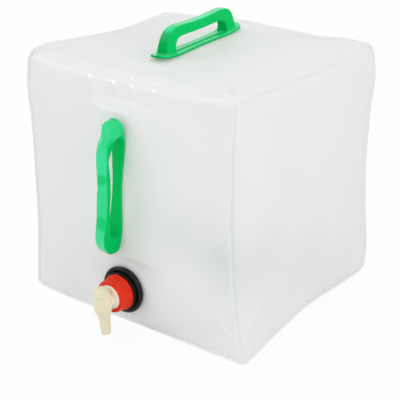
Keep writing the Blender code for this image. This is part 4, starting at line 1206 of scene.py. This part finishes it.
class CARRIER_OT_studio(bpy.types.Operator):
    """Makes the camera, the lamps, the floor and the world"""

    bl_idname = "carrier.studio"
    bl_label = "Make the studio"

    def execute(self, context):
        self.camera(context.scene)
        self.lamps()
        self.floor()
        self.world(context.scene)
        return {"FINISHED"}

    def camera(self, scene):
        """The photograph's view, from the right of the front and above."""
        azimuth, elevation, roll = math.radians(36.745), math.radians(22.847), math.radians(-0.27)
        data = bpy.data.cameras.new("view")
        data.lens, data.sensor_width = 94.225, 36.0
        data.clip_start, data.clip_end = 0.05, 30.0
        camera = add_object("view", data)
        level = math.cos(elevation)
        ahead = -Vector((math.sin(azimuth) * level, -math.cos(azimuth) * level, math.sin(elevation)))
        camera.matrix_world = (
            Matrix.Translation((0.6481, -0.8727, 0.419 + FILM_HALF[2] + RIM_LIFT))
            @ ahead.to_track_quat("-Z", "Y").to_matrix().to_4x4() @ Matrix.Rotation(-roll, 4, "Z")
        )
        scene.camera = camera

    def lamps(self):
        """Three soft panels: over the left of the front, to the right, and behind."""
        panels = {
            "key_panel": ((-1.8, -1.6, 1.4), 0.6, 11.0),
            "side_panel": ((1.9, -0.5, 1.1), 0.6, 7.0),
            "back_panel": ((-0.6, 1.8, 1.8), 1.0, 2.0),
        }
        for name, (place, size, power) in panels.items():
            data = bpy.data.lights.new(name, "AREA")
            data.shape, data.size, data.energy = "SQUARE", size, power
            lamp = add_object(name, data)
            lamp.location = place
            lamp.rotation_mode = "QUATERNION"
            lamp.rotation_quaternion = (Vector((0, 0, 0.14)) - Vector(place)).to_track_quat("-Z", "Y")

    def floor(self):
        """A plain pale floor that the camera sees as white where no shadow falls."""
        reach, level = 12.0, -0.0004
        corners = [(x * reach, y * reach, level) for x, y in ((-1, -1), (1, -1), (1, 1), (-1, 1))]
        tree = Tree("pale_floor")
        matt = tree.principled({"Base Color": (0.86, 0.86, 0.86), "Roughness": 0.9})
        white = tree.node("ShaderNodeEmission", {}, {"Color": (1.0, 1.0, 1.0), "Strength": 1.0})
        seen = tree.light_ray("Camera") + tree.light_ray("Glossy") + tree.light_ray("Transmission")
        whiteness = 0.93
        shader = tree.node("ShaderNodeMixShader", {}, {0: seen.clamped() * whiteness, 1: matt, 2: white})
        give_mesh("floor", corners, [(0, 1, 2, 3)], tree.finish(shader), smooth=False)

    def world(self, scene):
        """Even pale light all round, with a white background."""
        tree = Tree("studio", "worlds")
        seen = tree.light_ray("Camera")
        seen = seen.math("MAXIMUM", seen, tree.light_ray("Transmission"))
        lighting, backdrop = 0.90, 1.0
        sockets = {"Value": seen, "To Min": lighting, "To Max": backdrop}
        strength = tree.node("ShaderNodeMapRange", {}, sockets)
        light = tree.node("ShaderNodeBackground", {}, {"Color": (1.0, 1.0, 1.0), "Strength": strength})
        scene.world = tree.finish(light, "World")
        scene.view_settings.view_transform = "Standard"


OPERATORS = (CARRIER_OT_film, CARRIER_OT_grips, CARRIER_OT_tap, CARRIER_OT_studio)


class CARRIER_PT_panel(bpy.types.Panel):
    """The carrier's operators and settings"""

    bl_idname = "CARRIER_PT_panel"
    bl_label = "Water carrier"
    bl_space_type = "VIEW_3D"
    bl_region_type = "UI"
    bl_category = "Carrier"

    def draw(self, context):
        for operator in OPERATORS:
            self.layout.operator(operator.bl_idname)
        for group in (context.scene.carrier_film, context.scene.carrier_grips, context.scene.carrier_tap):
            for name in group.__annotations__:
                self.layout.prop(group, name)


CLASSES = (FilmSettings, GripSettings, TapSettings, *OPERATORS, CARRIER_PT_panel)


def register():
    """Registers the classes and the scene's settings."""
    for item in CLASSES:
        bpy.utils.register_class(item)
    bpy.types.Scene.carrier_film = PointerProperty(type=FilmSettings)
    bpy.types.Scene.carrier_grips = PointerProperty(type=GripSettings)
    bpy.types.Scene.carrier_tap = PointerProperty(type=TapSettings)


def unregister():
    """Removes the settings and the classes."""
    del bpy.types.Scene.carrier_film
    del bpy.types.Scene.carrier_grips
    del bpy.types.Scene.carrier_tap
    for item in reversed(CLASSES):
        bpy.utils.unregister_class(item)


def main():
    """Makes every piece and the studio."""
    register()
    bpy.ops.carrier.film()
    bpy.ops.carrier.grips()
    bpy.ops.carrier.tap()
    bpy.ops.carrier.studio()
    bpy.context.view_layer.update()


if __name__ == "__main__":
    main()
